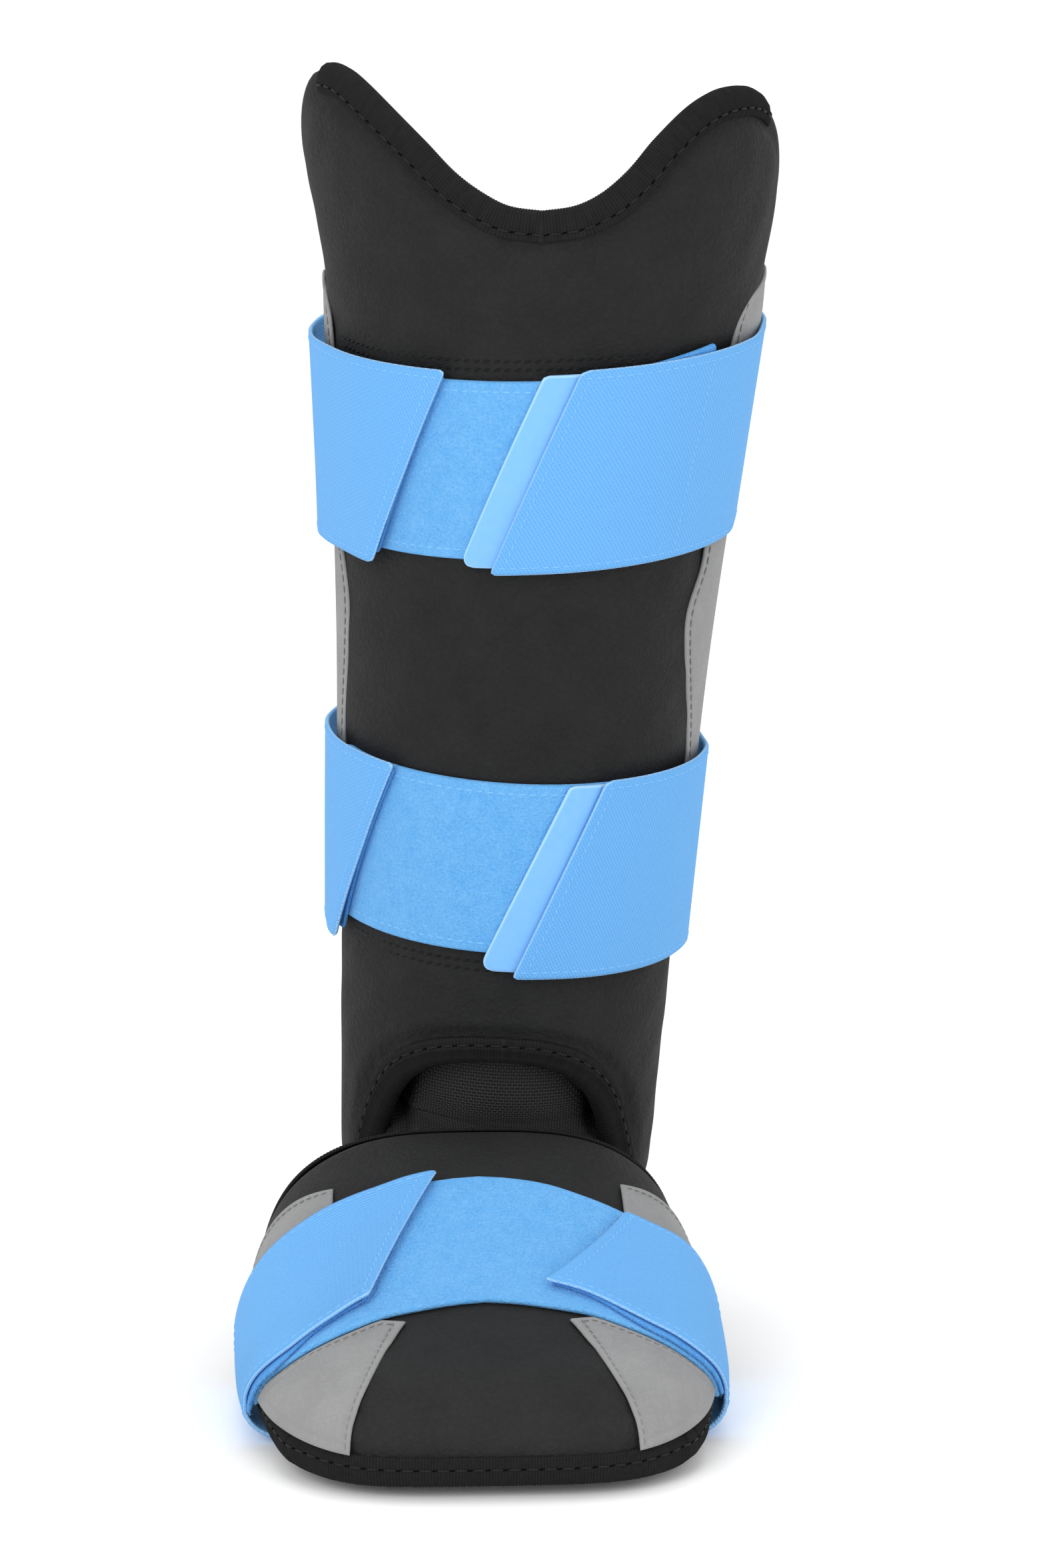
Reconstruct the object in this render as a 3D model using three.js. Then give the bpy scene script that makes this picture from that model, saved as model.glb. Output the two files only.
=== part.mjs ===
// Batter's leg guard: a padded shin shell and a padded foot shell joined by an ankle web, with
// three straps whose hook-backed ends press on loop panels at the front.
// Millimetres, +Z up, the toe towards -Y and the viewer's right towards +X.
// The origin lies on the leg's axis, midway between the two shin straps.

import * as THREE from 'three';
import { mergeVertices } from 'three/addons/utils/BufferGeometryUtils.js';

const { clamp, degToRad, lerp, smoothstep } = THREE.MathUtils;

// Stance of the two shells
const SEAT_ABOVE_SOLE = 205;
const SHIN_LEAN = degToRad(3);
const FOOT_YAW = degToRad(3.2);
const FOOT_SIDE_SHIFT = -17.8;

// Padded walls and their bound edges
const CLEARANCE = 0.3;
const SHIN_WALL = 9;
const FOOT_WALL = 8;
const EDGE_THICKNESS = 4.4;
const EDGE_SINK = 1.8;
const BOUND_SINK = 1.1;
const BINDING_WIDTH = 8;
const BINDING_TAPE = 1;
const BOUND_INSET = 9;
const FULL_INSET = 16;

// Layers on the shells, as heights of their inner and outer faces above the leather
const SIDE_PANEL = { inner: 0.4, outer: 1.6 };
const LOOP_PANEL = { inner: 0.4, outer: 2 };
const HOOK_PAD = { inner: 2.3, outer: 3.2 };
const PULL_TAB = { inner: 2.3, outer: 3.2 };
const BAND = { inner: 3.5, outer: 5 };

// Shin shell: sections up the leg, from the ankle lobes to the knee horns
const SHIN_SECTIONS = [
  { z: -170, half: 45.5, front: 53, back: 46, shift: 0 },
  { z: -120, half: 47.5, front: 54.5, back: 48, shift: 0 },
  { z: -60, half: 50.3, front: 58.2, back: 52, shift: 0 },
  { z: 0, half: 53.4, front: 63, back: 56, shift: 0.2 },
  { z: 60, half: 58.4, front: 68.5, back: 60, shift: 0.5 },
  { z: 115, half: 64.2, front: 72.5, back: 62, shift: 0 },
  { z: 145, half: 69.5, front: 74, back: 63, shift: -2.3 },
  { z: 180, half: 69.6, front: 74, back: 63, shift: -5 },
];
const SHIN_WRAP = 98;

// Edges of the shin shell: height on the left and right side, by angle round the leg from the front
const TOP_EDGE = [
  { angle: 0, left: 138, right: 138 },
  { angle: 9, left: 138.8, right: 140 },
  { angle: 16, left: 142.1, right: 143.9 },
  { angle: 23, left: 147.1, right: 150.3 },
  { angle: 31, left: 154.7, right: 159.4 },
  { angle: 41, left: 162.4, right: 167.5 },
  { angle: 50, left: 167.8, right: 171.1 },
  { angle: 58, left: 169.8, right: 171.6 },
  { angle: 66, left: 168.2, right: 169.5 },
  { angle: 75, left: 161.5, right: 163 },
  { angle: 84, left: 152, right: 153 },
  { angle: 91, left: 141, right: 141 },
  { angle: 98, left: 124, right: 124 },
];
const ARCH_EDGE = [
  { angle: 0, left: -115.4, right: -115.4 },
  { angle: 12, left: -116.4, right: -116.4 },
  { angle: 25, left: -120.5, right: -120.5 },
  { angle: 35, left: -127.5, right: -127.5 },
  { angle: 41, left: -135, right: -135 },
  { angle: 46, left: -143, right: -143 },
  { angle: 51, left: -151, right: -151 },
  { angle: 57, left: -159, right: -159 },
  { angle: 64, left: -163, right: -163 },
  { angle: 80, left: -163, right: -163 },
  { angle: 90, left: -158, right: -158 },
  { angle: 98, left: -145, right: -145 },
];
const SQUARE_INSET_REACH = 80;
const TOP_BINDING_COLUMNS = 30;
const ARCH_BINDING_COLUMNS = 26;

// Grey side panels of the shin: the front edge's angle on each side, by height
const SHIN_PANEL_FRONT = [
  { z: -52, left: 76, right: 72 },
  { z: -26, left: 74, right: 69 },
  { z: 8, left: 69, right: 58 },
  { z: 18, left: 70, right: 57 },
  { z: 33, left: 76, right: 62.5 },
  { z: 86, left: 76, right: 60 },
  { z: 104, left: 79, right: 62 },
  { z: 114, left: 83, right: 68 },
];
const SHIN_PANEL_BACK = 93;
const SHIN_PANEL_TOP_RISE = 3;

// Shin straps: height of the centre line, its rise across the leg, and the slanted ends by angle
const SHIN_STRAPS = [
  {
    name: 'upper',
    centre: 64.5,
    rise: 0.085,
    loop: { from: -52, to: 50, width: 53, raise: 0 },
    leftEnd: { angle: -35.5, slant: 23 },
    rightEnd: { angle: -0.5, slant: 21 },
    hookFar: { left: -64, right: 45 },
    settle: { from: 66, to: 84, left: 5, right: 2 },
  },
  {
    name: 'lower',
    centre: -58,
    rise: 0,
    loop: { from: -72, to: 56, width: 52, raise: 2.5 },
    leftEnd: { angle: -53, slant: 28 },
    rightEnd: { angle: 14.2, slant: 25.5 },
    hookFar: { left: -80, right: 62 },
    settle: { from: 82, to: 97, left: 3.8, right: 2 },
  },
];
const BAND_WIDTH = 60;
const STRAP_ROWS = 3;
const STRIP_COLUMNS = { loop: 20, hook: 9, pullTab: 3, footLoop: 24, footHook: 8 };
const SLANT_FADE = 60;
const HOOK_WIDTH = 51;
const HOOK_SETBACK = 4.5;
const PULL_TAB_SHOWN = 9.5;
const PULL_TAB_TUCKED = 2.5;
const PULL_TAB_WIDTH = 57;

// Foot shell: sections along the crown from the toe to the instep.
// path: distance along the crown, crown: its height over the sole, half: half width at the foot,
// bow: how far the section's ends sit behind its middle, lean: how far it leans back going down.
const FOOT_SECTIONS = [
  { path: 0, y: -186, crown: 5.2, half: 56, bow: 17, lean: 0 },
  { path: 9, y: -186, crown: 13, half: 59, bow: 22.5, lean: 0 },
  { path: 17, y: -183.5, crown: 20, half: 61.5, bow: 27, lean: 0 },
  { path: 28, y: -176, crown: 27.5, half: 63.6, bow: 29, lean: 0.08 },
  { path: 54, y: -150, crown: 36.5, half: 65.6, bow: 17, lean: 0.22 },
  { path: 75, y: -130, crown: 42, half: 66.4, bow: 6, lean: 0.36 },
  { path: 100, y: -107, crown: 52, half: 66.4, bow: 0, lean: 0.4 },
  { path: 125, y: -85, crown: 63, half: 65.5, bow: 0, lean: 0.4 },
  { path: 161, y: -50, crown: 70, half: 61, bow: 0, lean: 0.4 },
];
const FOOT_LENGTH = 161;
const FOOT_EDGE_HEIGHT = 4.2;
const FOOT_ROUNDNESS = 3;
const FOOT_BOW_POWER = 4;
const FOOT_BACK_ROUNDING = 22;
const FOOT_BACK_POWER = 8;
const FOOT_SIDE_INSET = 0.055;

// Foot strap: front and rear edge of its loop panel along the crown path, by angle from the crown
const FOOT_LOOP = [
  { angle: 0, front: 71.4, rear: 123 },
  { angle: 9, front: 67.6, rear: 120.2 },
  { angle: 17, front: 64.7, rear: 117 },
  { angle: 27, front: 59.5, rear: 114 },
  { angle: 40, front: 53.8, rear: 111 },
  { angle: 57, front: 47.5, rear: 109 },
  { angle: 75, front: 45.5, rear: 107.5 },
  { angle: 90, front: 45, rear: 107 },
];
const FOOT_LOOP_REACH = 83;
const FOOT_BAND_EDGE_SHIFT = 2.5;
const FOOT_LEFT_END = { front: -20, rear: -6 };
const FOOT_RIGHT_END = { front: 9, rear: 26 };
const FOOT_HOOK_FAR = 66;
const FOOT_HOOK_MARGIN = 4;
const FOOT_SETTLE = { from: 66, to: 80, inner: 2.3 };
const FOOT_BAND_TURN = 86;
const FOOT_BAND_SOLE = [
  { inset: 0.5, lift: 2, share: 1 },
  { inset: 2.2, lift: 0.35, share: 1 },
  { inset: 8, lift: 0, share: 1 },
  { inset: 0, lift: 0, share: 0 },
];

// Grey foot panels: the inner edge's angle by path in front of the strap, and the rear edge behind it
const FOOT_FRONT_PANEL = [
  { path: 9.8, angle: 34.3 },
  { path: 20, angle: 30.5 },
  { path: 24, angle: 28.5 },
  { path: 50, angle: 16.3 },
  { path: 62, angle: 13.3 },
];
const FOOT_REAR_PANEL = [
  { angle: 30, path: 126.5 },
  { angle: 45, path: 131 },
  { angle: 60, path: 133.5 },
  { angle: 84, path: 134 },
];
const FOOT_PANEL_SIDE = 84;
const FOOT_PANEL_GAP = 1.2;

// Ankle web between the arch of the shin shell and the back edge of the foot shell
const WEB = {
  half: 26.5,
  thickness: 1.6,
  shinDepth: 10.6,
  footDepth: 8.8,
  shinTop: -97,
  shinBottom: -137,
  tuck: 16,
  under: 1.5,
  footShift: 9,
};

const FINISHES = {
  leather: { color: 0x2f2f2f, roughness: 0.62, metalness: 0 },
  binding: { color: 0x272727, roughness: 0.85, metalness: 0 },
  greyLeather: { color: 0x9b9b9b, roughness: 0.6, metalness: 0 },
  webbing: { color: 0x1f1d1e, roughness: 0.8, metalness: 0 },
  loop: { color: 0x6fb6f6, roughness: 0.95, metalness: 0 },
  elastic: { color: 0x74b9f6, roughness: 0.85, metalness: 0 },
  hook: { color: 0x4aa3f5, roughness: 0.9, metalness: 0 },
  pullTab: { color: 0x8cc2f8, roughness: 0.5, metalness: 0 },
};

// Reads one column of a table smoothly between its rows, and straight on past its ends.
function read(table, key, at, column) {
  const last = table.length - 1;
  const slope = (i, j) => (table[j][column] - table[i][column]) / (table[j][key] - table[i][key]);
  if (at <= table[0][key]) {
    return table[0][column] + (at - table[0][key]) * slope(0, 1);
  }
  if (at >= table[last][key]) {
    return table[last][column] + (at - table[last][key]) * slope(last - 1, last);
  }
  const next = table.findIndex((row) => row[key] > at);
  const here = next - 1;
  const span = table[next][key] - table[here][key];
  const f = (at - table[here][key]) / span;
  const startSlope = slope(Math.max(here - 1, 0), next) * span;
  const endSlope = slope(here, Math.min(next + 1, last)) * span;
  const square = f * f;
  const cube = square * f;
  return (2 * cube - 3 * square + 1) * table[here][column]
    + (cube - 2 * square + f) * startSlope
    + (3 * square - 2 * cube) * table[next][column]
    + (cube - square) * endSlope;
}

// A closed sheet: u and v run along it from 0 to 1, and w through it from its inner to its outer face.
function sheet(columns, rows, place) {
  const geometry = new THREE.BoxGeometry(1, 1, 1, columns, rows, 1);
  geometry.deleteAttribute('normal');
  geometry.deleteAttribute('uv');
  geometry.clearGroups();
  const corner = new THREE.Vector3();
  const { position } = geometry.attributes;
  for (let i = 0; i < position.count; i += 1) {
    corner.fromBufferAttribute(position, i).addScalar(0.5);
    const point = place(corner.x, corner.y, corner.z);
    position.setXYZ(i, point.x, point.y, point.z);
  }
  const closed = mergeVertices(geometry);
  closed.computeVertexNormals();
  return closed;
}

function piece(name, geometry, finish) {
  const mesh = new THREE.Mesh(geometry, new THREE.MeshStandardMaterial(FINISHES[finish]));
  mesh.name = name;
  return mesh;
}

// How far the padding's faces lie from the full outer surface, by distance from a bound edge
function rolledFaces(wall, inset) {
  const innerAtEdge = EDGE_SINK + EDGE_THICKNESS;
  if (inset <= BOUND_INSET) {
    const f = inset / BOUND_INSET;
    return { outer: -lerp(EDGE_SINK, BOUND_SINK, f), inner: -lerp(innerAtEdge, (innerAtEdge + wall) / 2, f) };
  }
  const f = clamp((inset - BOUND_INSET) / (FULL_INSET - BOUND_INSET), 0, 1);
  return { outer: -lerp(BOUND_SINK, 0, f), inner: -lerp((innerAtEdge + wall) / 2, wall, f) };
}

// Place across a folded binding tape: along the outer face, over the edge, and back along the inner face
function bindingFold(v) {
  return [
    { inset: BINDING_WIDTH, face: 'outer', side: 1 },
    { inset: 0, face: 'outer', side: 1 },
    { inset: 0, face: 'inner', side: -1 },
    { inset: BINDING_WIDTH, face: 'inner', side: -1 },
  ][Math.round(v * 3)];
}

// Shin surface, at an angle in degrees round the leg from the front
function shinPoint(angle, z, offset) {
  const turn = degToRad(angle);
  const half = read(SHIN_SECTIONS, 'z', z, 'half') + offset;
  const front = read(SHIN_SECTIONS, 'z', z, 'front') + offset;
  const back = read(SHIN_SECTIONS, 'z', z, 'back') + offset;
  const depth = Math.cos(turn) > 0 ? front : back;
  const shift = read(SHIN_SECTIONS, 'z', z, 'shift');
  return new THREE.Vector3(shift + half * Math.sin(turn), -depth * Math.cos(turn), z);
}

function shinDegreesPerMm(angle, z) {
  const turn = degToRad(angle);
  const half = read(SHIN_SECTIONS, 'z', z, 'half');
  const front = read(SHIN_SECTIONS, 'z', z, 'front');
  return 180 / Math.PI / Math.hypot(half * Math.cos(turn), front * Math.sin(turn));
}

// A point of the top or arch edge, moved into the shell by a distance square to the edge
function shinInset(edge, angle, distance) {
  const inward = edge === TOP_EDGE ? -1 : 1;
  const step = 0.5;
  const height = (a) => read(edge, 'angle', Math.abs(a), a < 0 ? 'left' : 'right');
  const z = height(angle);
  const perMm = shinDegreesPerMm(angle, z);
  const slope = (height(angle + step) - height(angle - step)) / (2 * step / perMm);
  const length = Math.hypot(1, slope);
  const keep = 1 - smoothstep(Math.abs(angle), SQUARE_INSET_REACH, SHIN_WRAP);
  return {
    angle: angle - inward * (slope / length) * distance * perMm * keep,
    z: z + (inward * distance) / length,
  };
}

// Grid of the shin shell: close rows along both bound edges and even rows between them
const SHIN_COLUMNS = 40;
const SHIN_ROWS = 15;
const ROW_INSETS = [0, BOUND_INSET, FULL_INSET];

function shinRow(angle, row) {
  const fromTop = SHIN_ROWS - row;
  if (row < ROW_INSETS.length) {
    return { ...shinInset(ARCH_EDGE, angle, ROW_INSETS[row]), inset: ROW_INSETS[row] };
  }
  if (fromTop < ROW_INSETS.length) {
    return { ...shinInset(TOP_EDGE, angle, ROW_INSETS[fromTop]), inset: ROW_INSETS[fromTop] };
  }
  const low = shinInset(ARCH_EDGE, angle, FULL_INSET);
  const high = shinInset(TOP_EDGE, angle, FULL_INSET);
  const last = ROW_INSETS.length - 1;
  const f = (row - last) / (SHIN_ROWS - 2 * last);
  return { angle: lerp(low.angle, high.angle, f), z: lerp(low.z, high.z, f), inset: FULL_INSET };
}

function shinShell() {
  return sheet(SHIN_COLUMNS, SHIN_ROWS, (u, v, w) => {
    const spot = shinRow(lerp(-SHIN_WRAP, SHIN_WRAP, u), Math.round(v * SHIN_ROWS));
    const fromSide = Math.min(u, 1 - u) * SHIN_COLUMNS;
    const inset = Math.min(spot.inset, BOUND_INSET * fromSide);
    const faces = rolledFaces(SHIN_WALL, inset);
    return shinPoint(spot.angle, spot.z, lerp(faces.inner, faces.outer, w));
  });
}

function shinBinding(edge, columns) {
  const direction = edge === TOP_EDGE ? 1 : -1;
  const reach = (SHIN_WRAP * columns) / SHIN_COLUMNS;
  return sheet(columns, 3, (u, v, w) => {
    const fold = bindingFold(v);
    const stand = CLEARANCE + w * BINDING_TAPE;
    const inset = fold.inset || -stand;
    const spot = shinInset(edge, direction * lerp(-reach, reach, u), inset);
    const faces = rolledFaces(SHIN_WALL, fold.inset);
    return shinPoint(spot.angle, spot.z, faces[fold.face] + fold.side * stand);
  });
}

function shinSidePanel(side) {
  const sign = side === 'right' ? 1 : -1;
  const low = SHIN_PANEL_FRONT[0].z;
  const high = SHIN_PANEL_FRONT[SHIN_PANEL_FRONT.length - 1].z;
  return sheet(5, 14, (u, v, w) => {
    const back = sign > 0 ? u : 1 - u;
    const z = lerp(low, high, v) + v * back * SHIN_PANEL_TOP_RISE;
    const front = read(SHIN_PANEL_FRONT, 'z', lerp(low, high, v), side);
    const angle = sign * lerp(front, SHIN_PANEL_BACK, back);
    return shinPoint(angle, z, lerp(SIDE_PANEL.inner, SIDE_PANEL.outer, w));
  });
}

// Angle of a slanted strap end at v across its width
function slanted(end, v) {
  return end.angle + end.slant * (v - 0.5);
}

// A point of a shin strap's layer, at v across a width round the strap's centre line
function strapPoint(strap, width, angle, v, offset) {
  const across = read(SHIN_SECTIONS, 'z', strap.centre, 'half') * Math.sin(degToRad(angle));
  return shinPoint(angle, strap.centre + (v - 0.5) * width + strap.rise * across, offset);
}

// A strip of a shin strap between two slanted ends
function strapStrip(strap, layer, width, from, to, columns) {
  return sheet(columns, STRAP_ROWS, (u, v, w) => {
    const angle = lerp(slanted(from, v), slanted(to, v), u);
    return strapPoint(strap, width, angle, v, lerp(layer.inner, layer.outer, w));
  });
}

function evenly(from, to, steps) {
  return Array.from({ length: steps }, (_, i) => lerp(from, to, i / steps));
}

// The band of a shin strap: from its right end round the back of the leg to its left end
function strapBand(strap) {
  const { leftEnd, rightEnd, settle } = strap;
  const left = { ...leftEnd, angle: leftEnd.angle + 360 };
  const runs = [
    { from: rightEnd.angle, to: SHIN_WRAP, steps: 18 },
    { from: SHIN_WRAP, to: 360 - SHIN_WRAP, steps: 12 },
    { from: 360 - SHIN_WRAP, to: left.angle, steps: 12 },
  ];
  const stations = ({ from, to, steps }) => evenly(from, to, steps);
  const angles = [...runs.flatMap(stations), left.angle];
  const keep = (angle, end) => 1 - smoothstep(Math.abs(angle - end.angle), 0, SLANT_FADE);
  return sheet(angles.length - 1, STRAP_ROWS, (u, v, w) => {
    const middle = angles[Math.round(u * (angles.length - 1))];
    const end = middle < 180 ? rightEnd : left;
    const angle = middle + end.slant * (v - 0.5) * keep(middle, end);
    const fromFront = Math.min(Math.abs(angle), Math.abs(360 - angle));
    const settled = lerp(settle.right, settle.left, smoothstep(angle, SHIN_WRAP, 360 - SHIN_WRAP));
    const sink = (BAND.inner - settled) * smoothstep(fromFront, settle.from, settle.to);
    return strapPoint(strap, BAND_WIDTH, angle, v, lerp(BAND.inner, BAND.outer, w) - sink);
  });
}

function moved(end, angle) {
  return { angle: end.angle + angle, slant: end.slant };
}

function upright(angle) {
  return { angle, slant: 0 };
}

function shinStrap(strap) {
  const perMm = shinDegreesPerMm(0, strap.centre);
  const { loop, leftEnd, rightEnd, hookFar } = strap;
  const raised = { ...strap, centre: strap.centre + loop.raise };
  const setback = HOOK_SETBACK * perMm;
  const tabEnd = moved(rightEnd, -PULL_TAB_SHOWN * perMm);
  const tabTuck = moved(rightEnd, PULL_TAB_TUCKED * perMm);
  const leftHook = moved(leftEnd, -setback);
  const rightHook = moved(rightEnd, setback);
  const strip = (part, finish, line, layer, width, from, to) => {
    const geometry = strapStrip(line, layer, width, from, to, STRIP_COLUMNS[finish]);
    return piece(`${strap.name}_strap_${part}`, geometry, finish);
  };
  return [
    strip('loop_panel', 'loop', raised, LOOP_PANEL, loop.width, upright(loop.from), upright(loop.to)),
    strip('hook_left', 'hook', strap, HOOK_PAD, HOOK_WIDTH, upright(hookFar.left), leftHook),
    strip('hook_right', 'hook', strap, HOOK_PAD, HOOK_WIDTH, rightHook, upright(hookFar.right)),
    strip('pull_tab', 'pullTab', strap, PULL_TAB, PULL_TAB_WIDTH, tabEnd, tabTuck),
    piece(`${strap.name}_strap_band`, strapBand(strap), 'elastic'),
  ];
}

// Foot surface without offset: u from -1 at the left foot edge over the crown to 1 at the right
function footSurface(u, path) {
  const turn = (u * Math.PI) / 2;
  const power = 2 / FOOT_ROUNDNESS;
  const across = Math.sign(u) * Math.abs(Math.sin(turn)) ** power;
  const rise = Math.sign(Math.cos(turn)) * Math.abs(Math.cos(turn)) ** power;
  const column = (name) => read(FOOT_SECTIONS, 'path', path, name);
  const crown = column('crown');
  const z = FOOT_EDGE_HEIGHT + (crown - FOOT_EDGE_HEIGHT) * rise;
  const back = column('bow') * Math.abs(across) ** FOOT_BOW_POWER + column('lean') * (crown - z);
  return new THREE.Vector3(column('half') * across, column('y') + back, z);
}

function footPoint(u, path, offset) {
  const stepU = 0.001;
  const stepPath = 0.05;
  const alongU = footSurface(u + stepU, path).sub(footSurface(u - stepU, path));
  const alongPath = footSurface(u, path + stepPath).sub(footSurface(u, path - stepPath));
  const outward = alongU.cross(alongPath).normalize();
  return footSurface(u, path).addScaledVector(outward, offset);
}

const FOOT_COLUMNS = 24;
const FOOT_PATHS = [0, 9, 16, 22, 30, 42, 56, 71, 86, 102, 118, 132, 145, 152, 161];
const FOOT_SIDE_COLUMNS = [0, FOOT_SIDE_INSET, 0.1];
const FOOT_BUTT_GAP = 0.5;

function footColumn(index) {
  const fromEdge = Math.min(index, FOOT_COLUMNS - index);
  const last = FOOT_SIDE_COLUMNS.length - 1;
  const inner = 1 - FOOT_SIDE_COLUMNS[last];
  const even = (fromEdge - last) / (FOOT_COLUMNS / 2 - last);
  const size = fromEdge <= last ? 1 - FOOT_SIDE_COLUMNS[fromEdge] : inner * (1 - even);
  return index < FOOT_COLUMNS / 2 ? -size : size;
}

function footPath(across, level) {
  return level * (1 - (FOOT_BACK_ROUNDING / FOOT_LENGTH) * Math.abs(across) ** FOOT_BACK_POWER);
}

function footShell() {
  const rows = FOOT_PATHS.length - 1;
  return sheet(FOOT_COLUMNS, rows, (u, v, w) => {
    const across = footColumn(Math.round(u * FOOT_COLUMNS));
    const level = FOOT_PATHS[Math.round(v * rows)];
    const fromSide = ((1 - Math.abs(across)) / FOOT_SIDE_INSET) * BOUND_INSET;
    const faces = rolledFaces(FOOT_WALL, Math.min(level, FOOT_LENGTH - level, fromSide));
    return footPoint(across, footPath(across, level), lerp(faces.inner, faces.outer, w));
  });
}

// Stations round the whole edge of the foot shell, on its grid: toe, left side, back, right side
function footEdgeStations() {
  const columns = Array.from({ length: FOOT_COLUMNS + 1 }, (_, i) => footColumn(i));
  const toe = columns.map((across) => ({ across, level: 0 })).reverse();
  const left = FOOT_PATHS.slice(1, -1).map((level) => ({ across: -1, level }));
  const back = columns.map((across) => ({ across, level: FOOT_LENGTH }));
  const right = FOOT_PATHS.slice(1, -1).map((level) => ({ across: 1, level })).reverse();
  return [...toe, ...left, ...back, ...right, { across: 1, level: FOOT_BUTT_GAP }];
}

// A station moved into the shell, square to the edge or edges that it lies on
function footInset({ across, level }, inset) {
  const side = Math.abs(across) === 1 ? (FOOT_SIDE_INSET * inset) / BOUND_INSET : 0;
  const drawn = across * (1 - side);
  return { across: drawn, path: footPath(drawn, clamp(level, inset, FOOT_LENGTH - inset)) };
}

function footBinding() {
  const stations = footEdgeStations();
  return sheet(stations.length - 1, 3, (u, v, w) => {
    const station = stations[Math.round(u * (stations.length - 1))];
    const fold = bindingFold(v);
    const stand = CLEARANCE + w * BINDING_TAPE;
    const faces = rolledFaces(FOOT_WALL, fold.inset);
    const spot = footInset(station, fold.inset);
    const point = footPoint(spot.across, spot.path, faces[fold.face] + fold.side * stand);
    if (fold.inset === 0) {
      const inside = footInset(station, BOUND_INSET);
      const outward = footSurface(spot.across, spot.path).sub(footSurface(inside.across, inside.path));
      point.addScaledVector(outward.normalize(), stand);
    }
    return point;
  });
}

function footFrontPanel(sign) {
  const start = FOOT_FRONT_PANEL[0].path;
  const corner = FOOT_FRONT_PANEL[FOOT_FRONT_PANEL.length - 1].path;
  return sheet(8, 8, (u, v, w) => {
    const outwards = sign > 0 ? u : 1 - u;
    const inner = read(FOOT_FRONT_PANEL, 'path', lerp(start, corner, v), 'angle');
    const angle = lerp(inner, FOOT_PANEL_SIDE, outwards);
    const rear = Math.min(read(FOOT_LOOP, 'angle', angle, 'front') - FOOT_PANEL_GAP, corner);
    const path = lerp(start, rear, v);
    return footPoint((sign * angle) / 90, path, lerp(SIDE_PANEL.inner, SIDE_PANEL.outer, w));
  });
}

function footRearPanel(sign) {
  return sheet(7, 2, (u, v, w) => {
    const outwards = sign > 0 ? u : 1 - u;
    const angle = lerp(FOOT_REAR_PANEL[0].angle, FOOT_PANEL_SIDE, outwards);
    const front = read(FOOT_LOOP, 'angle', angle, 'rear') + FOOT_PANEL_GAP;
    const path = lerp(front, read(FOOT_REAR_PANEL, 'angle', angle, 'path'), v);
    return footPoint((sign * angle) / 90, path, lerp(SIDE_PANEL.inner, SIDE_PANEL.outer, w));
  });
}

// A strip of the foot strap on the shell, from one slanted end to another
function footStrip(layer, margin, from, to, columns) {
  return sheet(columns, 3, (u, v, w) => {
    const angle = lerp(lerp(from.front, from.rear, v), lerp(to.front, to.rear, v), u);
    return footPoint(angle / 90, footStrapPath(angle, v, margin), lerp(layer.inner, layer.outer, w));
  });
}

function footStrapPath(angle, v, margin) {
  const front = read(FOOT_LOOP, 'angle', Math.abs(angle), 'front') + margin.front;
  const rear = read(FOOT_LOOP, 'angle', Math.abs(angle), 'rear') + margin.rear;
  return lerp(front, rear, v);
}

// The foot band: from its right end down the right side, flat under the sole, and up to its left end
const BAND_SIDE_STEPS = 12;

function footBandSide(angle, v, w) {
  const margin = { front: FOOT_BAND_EDGE_SHIFT, rear: FOOT_BAND_EDGE_SHIFT };
  const settled = smoothstep(Math.abs(angle), FOOT_SETTLE.from, FOOT_SETTLE.to);
  const sink = (BAND.inner - FOOT_SETTLE.inner) * settled;
  return footPoint(angle / 90, footStrapPath(angle, v, margin), lerp(BAND.inner, BAND.outer, w) - sink);
}

function footBandSole(side, turn, v, w) {
  const foot = footBandSide(side * FOOT_BAND_TURN, v, w);
  const reach = (Math.abs(foot.x) - turn.inset) * turn.share;
  return foot.set(side * reach, foot.y, turn.lift + (1 - w) * (BAND.outer - BAND.inner));
}

function footBand() {
  const half = BAND_SIDE_STEPS + FOOT_BAND_SOLE.length;
  return sheet(2 * half, 3, (u, v, w) => {
    const index = Math.round(u * 2 * half);
    const side = index <= half ? 1 : -1;
    const fromEnd = Math.min(index, 2 * half - index);
    if (fromEnd > BAND_SIDE_STEPS) {
      return footBandSole(side, FOOT_BAND_SOLE[fromEnd - BAND_SIDE_STEPS - 1], v, w);
    }
    const end = side > 0 ? FOOT_RIGHT_END : FOOT_LEFT_END;
    const angle = lerp(lerp(end.front, end.rear, v), side * FOOT_BAND_TURN, fromEnd / BAND_SIDE_STEPS);
    return footBandSide(angle, v, w);
  });
}

function footStrap() {
  const flush = { front: 0, rear: 0 };
  const drawnIn = { front: FOOT_HOOK_MARGIN, rear: -FOOT_HOOK_MARGIN };
  const even = (angle) => ({ front: angle, rear: angle });
  const turned = (end, angle) => ({ front: end.front + angle, rear: end.rear + angle });
  const rightHook = turned(FOOT_RIGHT_END, HOOK_SETBACK);
  const leftHook = turned(FOOT_LEFT_END, -HOOK_SETBACK);
  const { footLoop, footHook } = STRIP_COLUMNS;
  const loop = footStrip(LOOP_PANEL, flush, even(-FOOT_LOOP_REACH), even(FOOT_LOOP_REACH), footLoop);
  const left = footStrip(HOOK_PAD, drawnIn, even(-FOOT_HOOK_FAR), leftHook, footHook);
  const right = footStrip(HOOK_PAD, drawnIn, rightHook, even(FOOT_HOOK_FAR), footHook);
  return [
    piece('foot_strap_loop_panel', loop, 'loop'),
    piece('foot_strap_hook_left', left, 'hook'),
    piece('foot_strap_hook_right', right, 'hook'),
    piece('foot_strap_band', footBand(), 'elastic'),
  ];
}

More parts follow.
